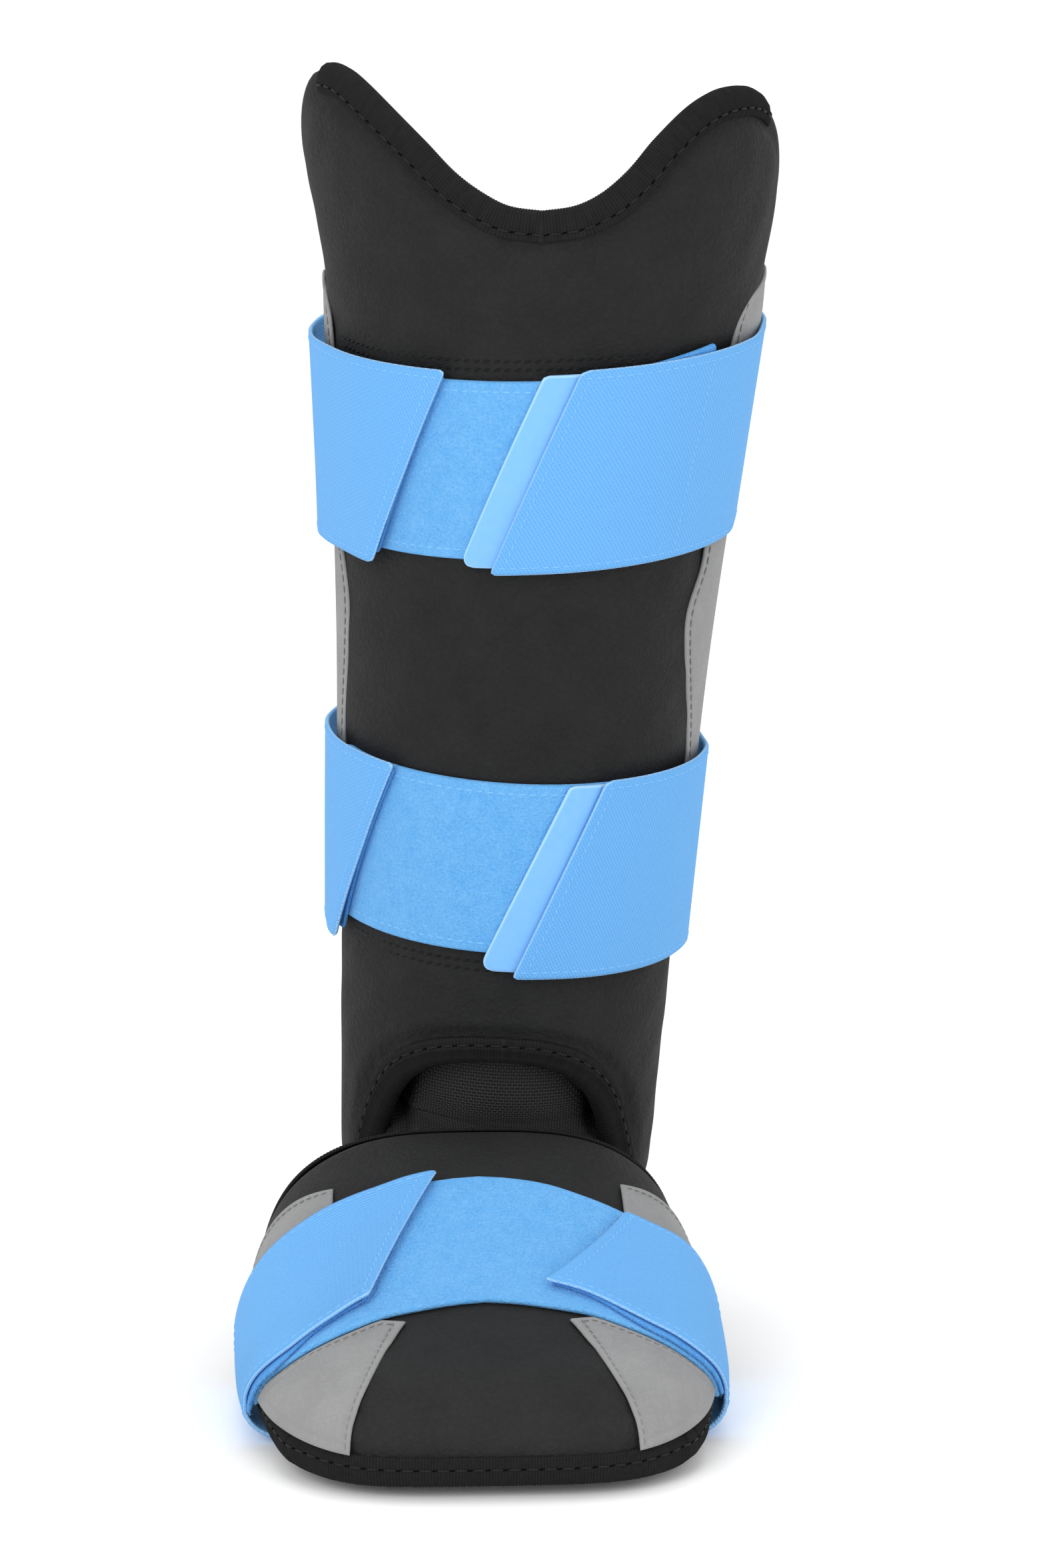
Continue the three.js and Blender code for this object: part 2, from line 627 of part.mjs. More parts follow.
// Angle round the shin, and place across the foot shell, of a point at x from the middle
function shinAngle(x, z, offset) {
  return (Math.asin(x / (read(SHIN_SECTIONS, 'z', z, 'half') + offset)) * 180) / Math.PI;
}

function footAcross(x, path) {
  const share = Math.abs(x) / read(FOOT_SECTIONS, 'path', path, 'half');
  return (Math.sign(x) * 2 * Math.asin(share ** (FOOT_ROUNDNESS / 2))) / Math.PI;
}

// The web goes up from under the back of the foot shell and then up inside the shin shell
function ankleWeb(shin, foot) {
  shin.updateMatrixWorld();
  foot.updateMatrixWorld();
  const columns = 8;
  const stations = [
    { path: FOOT_LENGTH - WEB.tuck, z: WEB.shinBottom, onShin: 0 },
    { path: FOOT_LENGTH + WEB.under, z: WEB.shinBottom, onShin: 0 },
    { path: FOOT_LENGTH + WEB.under, z: WEB.shinBottom, onShin: 0.5 },
    { path: FOOT_LENGTH + WEB.under, z: WEB.shinBottom, onShin: 1 },
    { path: FOOT_LENGTH + WEB.under, z: lerp(WEB.shinBottom, WEB.shinTop, 0.5), onShin: 1 },
    { path: FOOT_LENGTH + WEB.under, z: WEB.shinTop, onShin: 1 },
  ];
  return sheet(columns, stations.length - 1, (u, v, w) => {
    const { path, z, onShin } = stations[Math.round(v * (stations.length - 1))];
    const x = lerp(-WEB.half, WEB.half, u);
    const inwards = (1 - w) * WEB.thickness;
    const behindShin = -WEB.shinDepth - inwards;
    const shinSide = shinPoint(shinAngle(x, z, behindShin), z, behindShin).applyMatrix4(shin.matrixWorld);
    const across = footAcross(x + WEB.footShift, path);
    const footSide = footPoint(across, path, -WEB.footDepth - inwards).applyMatrix4(foot.matrixWorld);
    return footSide.lerp(shinSide, onShin);
  });
}

const guard = new THREE.Group();
const shin = new THREE.Group();
shin.rotation.y = SHIN_LEAN;
const foot = new THREE.Group();
foot.position.set(FOOT_SIDE_SHIFT, 0, -SEAT_ABOVE_SOLE);
foot.rotation.z = FOOT_YAW;

shin.add(
  piece('shin_shell', shinShell(), 'leather'),
  piece('shin_top_binding', shinBinding(TOP_EDGE, TOP_BINDING_COLUMNS), 'binding'),
  piece('shin_arch_binding', shinBinding(ARCH_EDGE, ARCH_BINDING_COLUMNS), 'binding'),
  piece('shin_side_panel_left', shinSidePanel('left'), 'greyLeather'),
  piece('shin_side_panel_right', shinSidePanel('right'), 'greyLeather'),
  ...SHIN_STRAPS.flatMap(shinStrap),
);

foot.add(
  piece('foot_shell', footShell(), 'leather'),
  piece('foot_edge_binding', footBinding(), 'binding'),
  piece('foot_front_panel_left', footFrontPanel(-1), 'greyLeather'),
  piece('foot_front_panel_right', footFrontPanel(1), 'greyLeather'),
  piece('foot_rear_panel_left', footRearPanel(-1), 'greyLeather'),
  piece('foot_rear_panel_right', footRearPanel(1), 'greyLeather'),
  ...footStrap(),
);

guard.add(shin, foot, piece('ankle_web', ankleWeb(shin, foot), 'webbing'));

export default guard;
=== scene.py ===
"""Looks of a batter's leg guard: padded leather shells, ribbed tapes, grey panels and elastic straps.

Lengths are in millimetres and angles in degrees until a mesh is made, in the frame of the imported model:
+Z up the leg, -Y towards the toe, +X to the right of someone who looks at the front.
"""

import logging
import math
from collections.abc import Callable, Sequence
from dataclasses import dataclass, replace
from enum import Enum
from functools import partial
from itertools import starmap
from typing import NamedTuple

import bmesh
import bpy
import numpy as np
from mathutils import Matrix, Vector


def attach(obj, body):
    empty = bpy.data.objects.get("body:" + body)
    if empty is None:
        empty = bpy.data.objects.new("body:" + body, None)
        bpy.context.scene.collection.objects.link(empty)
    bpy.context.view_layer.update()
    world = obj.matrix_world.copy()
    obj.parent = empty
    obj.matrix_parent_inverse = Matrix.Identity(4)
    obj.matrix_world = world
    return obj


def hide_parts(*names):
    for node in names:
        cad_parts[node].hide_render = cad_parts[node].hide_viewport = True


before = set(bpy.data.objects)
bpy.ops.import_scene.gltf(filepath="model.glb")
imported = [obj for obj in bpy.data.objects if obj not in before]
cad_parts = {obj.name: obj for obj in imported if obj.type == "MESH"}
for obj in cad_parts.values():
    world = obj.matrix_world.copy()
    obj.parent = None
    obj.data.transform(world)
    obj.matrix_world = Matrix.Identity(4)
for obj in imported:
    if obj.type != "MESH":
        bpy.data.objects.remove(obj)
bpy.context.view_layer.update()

Array = np.ndarray
Pair = tuple[float, float]
Color = tuple[float, float, float]
Places = tuple[Array, Array]
Spots = Callable[[Array, Array], Places]
Relief = Callable[[Array, Array, Array], Array]
Socket = bpy.types.NodeSocket
Sockets = tuple[Socket, Socket]

MM = 0.001
BODY = "root"
BATCH = 2048
log = logging.getLogger("leg_guard")


def smoothstep(value: Array, low: float, high: float) -> Array:
    """Rises smoothly from 0 at low to 1 at high."""
    share = np.clip((value - low) / (high - low), 0.0, 1.0)
    return share * share * (3.0 - 2.0 * share)


def window(value: Array, rise: Pair, fall: Pair) -> Array:
    """Returns 1 between two places, with a smooth rise before and a smooth fall behind."""
    return smoothstep(value, *rise) * (1 - smoothstep(value, *fall))


def part_way(first: Array, last: Array, share: Array) -> Array:
    """Returns the values at a share of the way from the first to the last."""
    return first + (last - first) * share


def ridge(value: Array, centre: Array | float, width: float) -> Array:
    """Returns a soft ridge: 1 at its centre, fading on both sides over its width."""
    return np.exp(-(((value - centre) / width) ** 2))


def unit(vectors: Array) -> Array:
    """Returns the vectors with a length of 1."""
    return vectors / np.linalg.norm(vectors, axis=-1, keepdims=True)


def dot(first: Array, second: Array) -> Array:
    """Returns the dot products of two rows of vectors."""
    return (first * second).sum(axis=-1)


def stacked(*axes: Array) -> Array:
    """Returns points made of coordinates that may need to be spread to one size."""
    return np.stack(np.broadcast_arrays(*axes), axis=-1)


def walked_along(points: Array) -> Array:
    """Returns the distances along a line up to each of its points."""
    return np.concatenate(([0.0], np.cumsum(np.linalg.norm(np.diff(points, axis=0), axis=1))))


def read_along(places: Array, walked: Array, values: Array) -> Array:
    """Returns a line's values at distances from its start, between its points."""
    return np.stack([np.interp(places, walked, axis) for axis in values.T], axis=-1)


def quarter_round(share: Array) -> Array:
    """Height of a quarter circle: 0 at share 0, and 1 from share 1 on."""
    return np.sqrt(1.0 - (1.0 - np.clip(share, 0.0, 1.0)) ** 2)


def crowd(count: int, share: float) -> Array:
    """Places grid lines from 0 to 1 that crowd towards both ends."""
    even = np.linspace(0.0, 1.0, count + 1)
    return (1.0 - share) * even + share * (0.5 - 0.5 * np.cos(math.pi * even))


@dataclass(frozen=True)
class Curve:
    """A smooth line through a few (place, value) rows, straight on past its ends."""

    rows: tuple[Pair, ...]

    def at(self, place: Array) -> Array:
        """Reads the line.

        Args:
            place: Where to read it.

        Returns:
            The values there.
        """
        x, y = np.array(self.rows, dtype=float).T
        steps = np.diff(y) / np.diff(x)
        slopes = np.concatenate((steps[:1], (y[2:] - y[:-2]) / (x[2:] - x[:-2]), steps[-1:]))
        here = np.clip(np.searchsorted(x, place, side="right") - 1, 0, len(x) - 2)
        span = x[here + 1] - x[here]
        f = np.clip((place - x[here]) / span, 0.0, 1.0)
        square, cube = f**2, f**3
        value = (2 * cube - 3 * square + 1) * y[here] + (3 * square - 2 * cube) * y[here + 1]
        value += (cube - 2 * square + f) * slopes[here] * span + (cube - square) * slopes[here + 1] * span
        before = np.minimum(place - x[0], 0.0) * steps[0]
        after = np.maximum(place - x[-1], 0.0) * steps[-1]
        return value + before + after


def column(rows: Sequence[NamedTuple], key: str, value: str) -> Curve:
    """Makes a curve from two columns of a table."""
    return Curve(tuple((getattr(row, key), getattr(row, value)) for row in rows))


class ShinSection(NamedTuple):
    """One level cut of the shin: half width, depth in front and behind, and sideways shift."""

    z: float
    half: float
    front: float
    back: float
    shift: float


SHIN_SECTIONS = tuple(starmap(ShinSection, (
    (-170, 45.5, 53, 46, 0), (-120, 47.5, 54.5, 48, 0), (-60, 50.3, 58.2, 52, 0), (0, 53.4, 63, 56, 0.2),
    (60, 58.4, 68.5, 60, 0.5), (115, 64.2, 72.5, 62, 0), (145, 69.5, 74, 63, -2.3),
    (180, 69.6, 74, 63, -5),
)))


class EdgePoint(NamedTuple):
    """A place along an edge, and where the edge is there on the left and on the right.

    Edges of the shin shell have heights by angle, and edges of its panels have angles by height.
    """

    place: float
    left: float
    right: float


TOP_EDGE = tuple(starmap(EdgePoint, (
    (0, 138, 138), (9, 138.8, 140), (16, 142.1, 143.9), (23, 147.1, 150.3), (31, 154.7, 159.4),
    (41, 162.4, 167.5), (50, 167.8, 171.1), (58, 170.6, 171.6), (66, 170.4, 170.3), (75, 167, 166),
    (84, 157.5, 156.5), (91, 144, 143), (98, 124, 124),
)))
ARCH_EDGE = tuple(starmap(EdgePoint, (
    (0, -115.4, -115.4), (13, -116.1, -116.3), (26, -118.8, -119.9), (37, -123.7, -126.3),
    (44, -129.3, -133.6), (49, -135.2, -141.2), (54, -143.4, -149.3), (59, -152.8, -156.6),
    (65, -160.3, -161.6), (71, -163, -163), (80, -163, -163), (90, -158, -158), (98, -145, -145),
)))


class FootSection(NamedTuple):
    """One cut of the foot shell, by distance along its crown from the toe.

    crown is the crown's height over the sole, half the half width, bow how far the ends sit behind
    the middle, and lean how far the cut leans back going down.
    """

    path: float
    y: float
    crown: float
    half: float
    bow: float
    lean: float


FOOT_SECTIONS = tuple(starmap(FootSection, (
    (0, -186, 5.2, 56, 17, 0), (9, -186, 13, 59, 22.5, 0), (17, -183.5, 20, 61.5, 27, 0),
    (28, -176, 27.5, 63.6, 29, 0.08), (54, -150, 36.5, 65.6, 17, 0.22), (75, -130, 42, 66.4, 6, 0.36),
    (100, -107, 52, 66.4, 0, 0.4), (125, -85, 63, 65.5, 0, 0.4), (161, -50, 70, 61, 0, 0.4),
)))


class Form:
    """A surface with two coordinates p and q, whose normals are found by small steps."""

    steps: Pair = (0.05, 0.05)

    def base(self, p: Array, q: Array) -> Array:
        """Returns the surface's points; every form has its own."""
        raise NotImplementedError

    def flat(self, p: Array, q: Array) -> Array:
        """Returns the places on the sheet when it is laid flat; every form has its own."""
        raise NotImplementedError

    def tangents(self, p: Array, q: Array) -> Places:
        """Returns how the points move with p and with q, over a small step to both sides."""
        base, (step_p, step_q) = self.base, self.steps
        return base(p + step_p, q) - base(p - step_p, q), base(p, q + step_q) - base(p, q - step_q)

    def normal(self, p: Array, q: Array) -> Array:
        """Finds the outward directions."""
        return unit(np.cross(*self.tangents(p, q)))

    def point(self, p: Array, q: Array, offset: Array | float) -> Array:
        """Finds points off the surface."""
        return self.base(p, q) + self.normal(p, q) * np.asarray(offset)[..., None]

    def walk(self, p: Array, q: Array, heading: Array, distance: float) -> Places:
        """Walks over the surface in two steps.

        Args:
            p: First coordinates of the starts.
            q: Second coordinates.
            heading: Directions to walk in, which needn't lie in the surface.
            distance: How far to walk.

        Returns:
            The coordinates reached.
        """
        for _ in range(2):
            along_p, along_q = (along / (2 * step) for along, step in zip(self.tangents(p, q), self.steps))
            normal = self.normal(p, q)
            level = heading - normal * dot(heading, normal)[..., None]
            level *= distance / 2 / np.linalg.norm(level, axis=-1, keepdims=True)
            pp, qq, pq = dot(along_p, along_p), dot(along_q, along_q), dot(along_p, along_q)
            lp, lq = dot(level, along_p), dot(level, along_q)
            room = pp * qq - pq * pq
            p, q = p + (lp * qq - lq * pq) / room, q + (lq * pp - lp * pq) / room
        return p, q


@dataclass(frozen=True)
class ShinForm(Form):
    """Outer face of the shin shell: p is the angle round the leg from the front, and q the height."""

    lean: float = math.radians(3)
    half: Curve = column(SHIN_SECTIONS, "z", "half")
    front: Curve = column(SHIN_SECTIONS, "z", "front")
    back: Curve = column(SHIN_SECTIONS, "z", "back")
    shift: Curve = column(SHIN_SECTIONS, "z", "shift")
    flat_radius: float = 62.0

    def base(self, p: Array, q: Array) -> Array:
        """Sets the surface up with the leg's lean.

        Args:
            p: Angles round the leg.
            q: Heights.

        Returns:
            The surface's points.
        """
        turn = np.radians(p)
        depth = np.where(np.cos(turn) > 0, self.front.at(q), self.back.at(q))
        x = self.shift.at(q) + self.half.at(q) * np.sin(turn)
        y = -depth * np.cos(turn)
        cosine, sine = math.cos(self.lean), math.sin(self.lean)
        return stacked(x * cosine + q * sine, y, q * cosine - x * sine)

    def flat(self, p: Array, q: Array) -> Array:
        """Returns the places on the shell's leather when it is laid flat."""
        return stacked(np.radians(p) * self.flat_radius, q)

    def degrees_per_mm(self, p: Array | float, q: Array | float) -> Array:
        """Returns the angles that one millimetre round the leg takes at places."""
        turn, q = np.radians(p), np.asarray(q, dtype=float)
        return math.degrees(1) / np.hypot(self.half.at(q) * np.cos(turn), self.front.at(q) * np.sin(turn))


@dataclass(frozen=True)
class FootForm(Form):
    """Outer face of the foot shell: p runs from -1 over the crown to 1, and q along the crown."""

    steps: Pair = (0.001, 0.05)
    shift: float = -17.8
    yaw: float = math.radians(3.2)
    sole: float = -205.0
    edge_height: float = 4.2
    power: float = 2.0 / 3.0
    bow_power: float = 4.0
    flat_half: float = 92.0
    crest: Curve = Curve(
        ((0, 0), (90, 0), (110, 0.6), (125, 1.6), (140, 3.2), (149, 3.4), (155, 1.6), (161, -2.8))
    )
    widest: float = 90.0
    rising: float = 140.0

    def crown(self, q: Array) -> Array:
        """Returns the crown's height, with the roll of the leather at the back."""
        return column(FOOT_SECTIONS, "path", "crown").at(q) + self.crest.at(q)

    def path_at(self, p: Array, height: Array) -> Array:
        """Finds where along the crown the foot reaches a height.

        Args:
            p: Places across the foot.
            height: Heights over the sole.

        Returns:
            The places along the crown.
        """
        rise = np.maximum(np.cos(np.abs(p) * math.pi / 2), 1e-6) ** self.power
        fine = np.linspace(-3.0, self.rising, 500)
        return np.interp(self.edge_height + (height - self.edge_height) / rise, self.crown(fine), fine)

    def base(self, p: Array, q: Array) -> Array:
        """Turns the surface and sets it on the sole's level.

        Args:
            p: Places over the crown.
            q: Places along it.

        Returns:
            The surface's points.
        """
        x, y, z = np.moveaxis(self.local(p, q), -1, 0)
        cosine, sine = math.cos(self.yaw), math.sin(self.yaw)
        return stacked(x * cosine - y * sine + self.shift, x * sine + y * cosine, z + self.sole)

    def local(self, p: Array, q: Array) -> Array:
        """Finds the surface's points before the foot is turned.

        Args:
            p: Places across the foot.
            q: Places along the crown.

        Returns:
            The points, with z over the sole.
        """
        turn = p * math.pi / 2
        across = np.sign(p) * np.abs(np.sin(turn)) ** self.power
        rise = np.sign(np.cos(turn)) * np.abs(np.cos(turn)) ** self.power
        names = ("y", "half", "bow", "lean")
        y, half, bow, lean = (column(FOOT_SECTIONS, "path", name).at(q) for name in names)
        crown = self.crown(q)
        z = part_way(self.edge_height, crown, rise)
        back = bow * np.abs(across) ** self.bow_power + lean * (crown - z)
        return stacked(half * across, y + back, z)

    def flat(self, p: Array, q: Array) -> Array:
        """Returns the places on the shell's leather when it is laid flat."""
        return stacked(p * self.flat_half, q)

    def spread(self, share: Array) -> Array:
        """Evens out places across the foot, which the rounded section would bunch.

        Args:
            share: Even places from -1 to 1.

        Returns:
            The coordinates p that lie evenly on the section.
        """
        fine = np.linspace(0.0, 1.0, 400)
        walked = walked_along(self.local(fine, np.full_like(fine, self.widest)))
        return np.sign(share) * np.interp(np.abs(share), walked / walked[-1], fine)


class Pattern(Enum):
    """Surface patterns that the finishes share, named after their shader groups."""

    GRAIN = "leather_grain"
    TWILL = "elastic_twill"
    RIBS = "elastic_ribs"
    TAPE = "tape_weave"
    BASKET = "basket_weave"
    FELT = "felt_pile"
    SMOOTH = "moulded_skin"


class Slot(Enum):
    """The record's material slots."""

    LEATHER = "leather"
    BINDING = "binding"
    GREY_LEATHER = "grey_leather"
    WEBBING = "webbing"
    LOOP = "loop"
    HOOK = "hook"
    ELASTIC = "elastic"
    PULL_TAB = "pull_tab"


class Held(Enum):
    """How a sheet is held, where it is one; a held sheet only logs its flat size."""

    NOT_A_SHEET = ""
    LAID = "laid"
    STRETCHED = "stretched"


class Side(Enum):
    """A side of the guard, as the sign of its x."""

    LEFT = -1
    RIGHT = 1

    @property
    def label(self) -> str:
        """The side's name in a node's name."""
        return self.name.lower()


class Graph:
    """Adds and links the nodes of one shader tree."""

    def __init__(self, tree: bpy.types.NodeTree) -> None:
        """Keeps the tree."""
        self.tree = tree

    def feed(self, socket: Socket, value: object) -> None:
        """Links a socket, or sets its value.

        Args:
            socket: The input to feed.
            value: An output socket, or a plain value.
        """
        if isinstance(value, Socket):
            self.tree.links.new(value, socket)
        else:
            socket.default_value = value

    def add(self, kind: str, **inputs: object) -> bpy.types.Node:
        """Adds a node.

        Args:
            kind: The node's type.
            inputs: What feeds its inputs, by name, with _ for a space.

        Returns:
            The node.
        """
        node = self.tree.nodes.new(kind)
        for name, value in inputs.items():
            self.feed(node.inputs[name.replace("_", " ")], value)
        return node

    def math(self, operation: str, first: object, second: object = 0.0) -> Socket:
        """Adds a math node.

        Args:
            operation: What it works out.
            first: First number or socket.
            second: Second number or socket.

        Returns:
            The result's socket.
        """
        node = self.tree.nodes.new("ShaderNodeMath")
        node.operation = operation
        self.feed(node.inputs[0], first)
        self.feed(node.inputs[1], second)
        return node.outputs[0]

    def times(self, first: object, second: object) -> Socket:
        """Multiplies two numbers or sockets."""
        return self.math("MULTIPLY", first, second)

    def plus(self, first: object, second: object) -> Socket:
        """Adds two numbers or sockets up."""
        return self.math("ADD", first, second)

    def wave(self, place: object) -> Socket:
        """Adds a wave from 0 to 1 with one crest in each unit of place."""
        turned = self.math("SINE", self.times(place, math.tau))
        return self.plus(self.times(turned, 0.5), 0.5)

    def noise(self, vector: object, scale: float, detail: float = 2.0) -> Socket:
        """Adds soft noise."""
        return self.add("ShaderNodeTexNoise", Vector=vector, Scale=scale, Detail=detail).outputs["Fac"]

    def between(self, value: object, span: Pair, results: Pair) -> Socket:
        """Maps a value from one range to another.

        Args:
            value: The value's socket.
            span: Start and end of its range.
            results: What comes out at the start and at the end.

        Returns:
            The result's socket.
        """
        node = self.tree.nodes.new("ShaderNodeMapRange")
        for socket, given in zip(node.inputs, (value, *span, *results)):
            self.feed(socket, given)
        return node.outputs[0]

    def mix(self, share: object, first: object, second: object) -> Socket:
        """Mixes two colours.

        Args:
            share: How much of the second, from 0 to 1.
            first: First colour or socket.
            second: Second colour or socket.

        Returns:
            The mixed colour's socket.
        """
        node = self.tree.nodes.new("ShaderNodeMix")
        node.data_type = "RGBA"
        self.feed(node.inputs[0], share)
        for socket, given in ((node.inputs[6], first), (node.inputs[7], second)):
            self.feed(socket, (*given, 1.0) if isinstance(given, tuple) else given)
        return node.outputs[2]


class PatternGroup:
    """Builds the shader group of a pattern: coordinates and a pitch go in, a height and a tone come out.

    Each pattern has a method with its name, which draws it over cells, the coordinates in units of the
    pitch, and gives back the sockets of the height and the tone.
    """

    whole: Pair = (0.0, 1.0)

    def __init__(self, pattern: Pattern) -> None:
        """Keeps the pattern."""
        self.pattern = pattern

    def tree(self) -> bpy.types.NodeTree:
        """Finds the group, and builds it the first time.

        Returns:
            The group's node tree.
        """
        found = bpy.data.node_groups.get(self.pattern.value)
        if found:
            return found
        tree = bpy.data.node_groups.new(self.pattern.value, "ShaderNodeTree")
        sockets = (("Vector", "INPUT"), ("Pitch", "INPUT"), ("Height", "OUTPUT"), ("Tone", "OUTPUT"))
        for name, way in sockets:
            kind = "NodeSocketVector" if name == "Vector" else "NodeSocketFloat"
            tree.interface.new_socket(name, in_out=way, socket_type=kind)
        self.graph = graph = Graph(tree)
        given = graph.add("NodeGroupInput")
        scaled = tree.nodes.new("ShaderNodeVectorMath")
        scaled.operation = "SCALE"
        graph.feed(scaled.inputs[0], given.outputs["Vector"])
        graph.feed(scaled.inputs["Scale"], graph.math("DIVIDE", 1.0 / MM, given.outputs["Pitch"]))
        self.cells = scaled.outputs[0]
        height, tone = getattr(self, self.pattern.name.lower())()
        graph.add("NodeGroupOutput", Height=height, Tone=tone)
        return tree

    def split(self) -> Sockets:
        """Returns the sockets of the first two coordinates."""
        return tuple(self.graph.add("ShaderNodeSeparateXYZ", Vector=self.cells).outputs[:2])

    def mixed(self, first: Socket, share: float, second: Socket, other: float) -> Socket:
        """Returns the sum of two sockets, each with its own share."""
        return self.graph.plus(self.graph.times(first, share), self.graph.times(second, other))

    def grain(self) -> Sockets:
        """Draws leather: soft pebbles cut by a few creases.

        Returns:
            The sockets of the height and the tone.
        """
        graph, cells = self.graph, self.cells
        pebbles = graph.add("ShaderNodeTexVoronoi", Vector=cells, Scale=1.0)
        pebbles.feature = "SMOOTH_F1"
        dome = graph.between(pebbles.outputs["Distance"], (0.0, 0.75), (1.0, 0.0))
        crease = graph.math("ABSOLUTE", graph.math("SUBTRACT", graph.noise(cells, 0.22, 5.0), 0.5))
        skin = graph.times(dome, graph.between(crease, (0.0, 0.035), (0.25, 1.0)))
        height = graph.plus(skin, graph.noise(cells, 0.4))
        mottle = graph.between(graph.noise(cells, 0.07, 4.0), (0.3, 0.7), (0.0, 0.6))
        return graph.times(height, 0.55), graph.plus(mottle, graph.times(skin, 0.5))

    def twill(self) -> Sockets:
        """Draws woven elastic: slanted rows of small round floats.

        Returns:
            The sockets of the height and the tone.
        """
        graph, (x, y) = self.graph, self.split()
        rows = graph.wave(graph.plus(x, graph.times(y, 0.62)))
        floats = graph.wave(graph.math("SUBTRACT", y, graph.times(x, 0.45)))
        lumps = graph.times(rows, graph.between(floats, self.whole, (0.35, 1.0)))
        fibres = graph.noise(self.cells, 2.3, 3.0)
        return self.mixed(lumps, 0.75, fibres, 0.25), self.mixed(lumps, 0.55, fibres, 0.5)

    def ribs(self) -> Sockets:
        """Draws ribbed elastic: lengthwise ribs cut into short floats.

        Returns:
            The sockets of the height and the tone.
        """
        graph, (x, y) = self.graph, self.split()
        floats = graph.wave(graph.times(x, 0.75))
        lumps = graph.times(graph.wave(y), graph.between(floats, self.whole, (0.6, 1.0)))
        fibres = graph.noise(self.cells, 2.3, 3.0)
        return self.mixed(lumps, 0.75, fibres, 0.25), self.mixed(lumps, 0.5, fibres, 0.5)

    def tape(self) -> Sockets:
        """Draws the fine threads on a ribbed tape.

        Returns:
            The sockets of the height and the tone.
        """
        graph, (x, y) = self.graph, self.split()
        threads = graph.wave(graph.times(y, 1.6))
        lumps = graph.times(graph.wave(x), graph.between(threads, self.whole, (0.6, 1.0)))
        return lumps, graph.plus(graph.times(lumps, 0.6), graph.noise(self.cells, 0.5))

    def basket(self) -> Sockets:
        """Draws a coarse basket weave of crossing strands.

        Returns:
            The sockets of the height and the tone.
        """
        graph, cells = self.graph, self.cells
        turns = (graph.math("SINE", graph.times(place, math.pi)) for place in self.split())
        first, second = (graph.math("ABSOLUTE", turn) for turn in turns)
        over = graph.add("ShaderNodeTexChecker", Vector=cells, Scale=1.0).outputs["Fac"]
        under = graph.math("SUBTRACT", 1.0, over)
        height = graph.plus(graph.times(first, over), graph.times(second, under))
        return height, self.mixed(graph.math("POWER", height, 2.0), 0.8, graph.noise(cells, 1.7), 0.2)

    def felt(self) -> Sockets:
        """Draws brushed pile: fine fibres with soft mottles.

        Returns:
            The sockets of the height and the tone.
        """
        graph, cells = self.graph, self.cells
        fibres = graph.between(graph.noise(cells, 1.1, 5.0), (0.32, 0.68), self.whole)
        mottle = graph.between(graph.noise(cells, 0.2, 3.0), (0.3, 0.7), (0.0, 0.3))
        height = self.mixed(fibres, 0.6, graph.noise(cells, 0.45, 3.0), 0.6)
        return height, graph.plus(graph.times(fibres, 0.7), mottle)

    def smooth(self) -> Sockets:
        """Draws moulded rubber or thread, with a faintly uneven skin."""
        return self.graph.noise(self.cells, 1.0, 3.0), self.graph.noise(self.cells, 0.25)


@dataclass(frozen=True)
class Finish:
    """A material: its colours on crests and in hollows, its pattern, how it takes light, and any painted
    highlight along its border.
    """

    name: str
    color: Color
    deep: Color
    pattern: Pattern
    pitch: float
    depth: float
    roughness: float
    rough_spread: float = 0.06
    specular: float = 0.3
    sheen: float = 0.0
    on_sheet: bool = False
    # Painted highlight along the border: its colour, and the width in mm over which it fades.
    rim_color: Color | None = None
    rim_highlight_width: float = 0.5

    def material(self) -> bpy.types.Material:
        """Finds the material, and builds it the first time.

        Returns:
            The material.
        """
        found = bpy.data.materials.get(self.name)
        if found:
            return found
        material = bpy.data.materials.new(self.name)
        material.use_nodes = True
        graph = Graph(material.node_tree)
        shader = material.node_tree.nodes["Principled BSDF"]
        coordinates = graph.add("ShaderNodeTexCoord").outputs["UV" if self.on_sheet else "Object"]
        group = graph.tree.nodes.new("ShaderNodeGroup")
        group.node_tree = PatternGroup(self.pattern).tree()
        graph.feed(group.inputs["Vector"], coordinates)
        graph.feed(group.inputs["Pitch"], self.pitch)
        color = graph.mix(group.outputs["Tone"], self.deep, self.color)
        # Painted highlight: near the border the colour turns towards the highlight colour.
        if self.rim_color:
            edge = graph.tree.nodes.new("ShaderNodeAttribute")
            edge.attribute_name = "edge"
            rim = graph.between(edge.outputs["Fac"], (0.4 * self.rim_highlight_width, self.rim_highlight_width), (1.0, 0.0))
            color = graph.mix(rim, color, self.rim_color)
        graph.feed(shader.inputs["Base Color"], color)
        height = group.outputs["Height"]
        span = (self.roughness + self.rough_spread, self.roughness - self.rough_spread)
        graph.feed(shader.inputs["Roughness"], graph.between(height, (0.0, 1.0), span))
        bump = graph.add("ShaderNodeBump", Strength=1.0, Distance=self.depth * MM, Height=height)
        graph.feed(shader.inputs["Normal"], bump.outputs["Normal"])
        shader.inputs["Specular IOR Level"].default_value = self.specular
        shader.inputs["Sheen Weight"].default_value = self.sheen
        return material


def grey(value: float) -> Color:
    """Returns a neutral colour."""
    return (value, value, value)


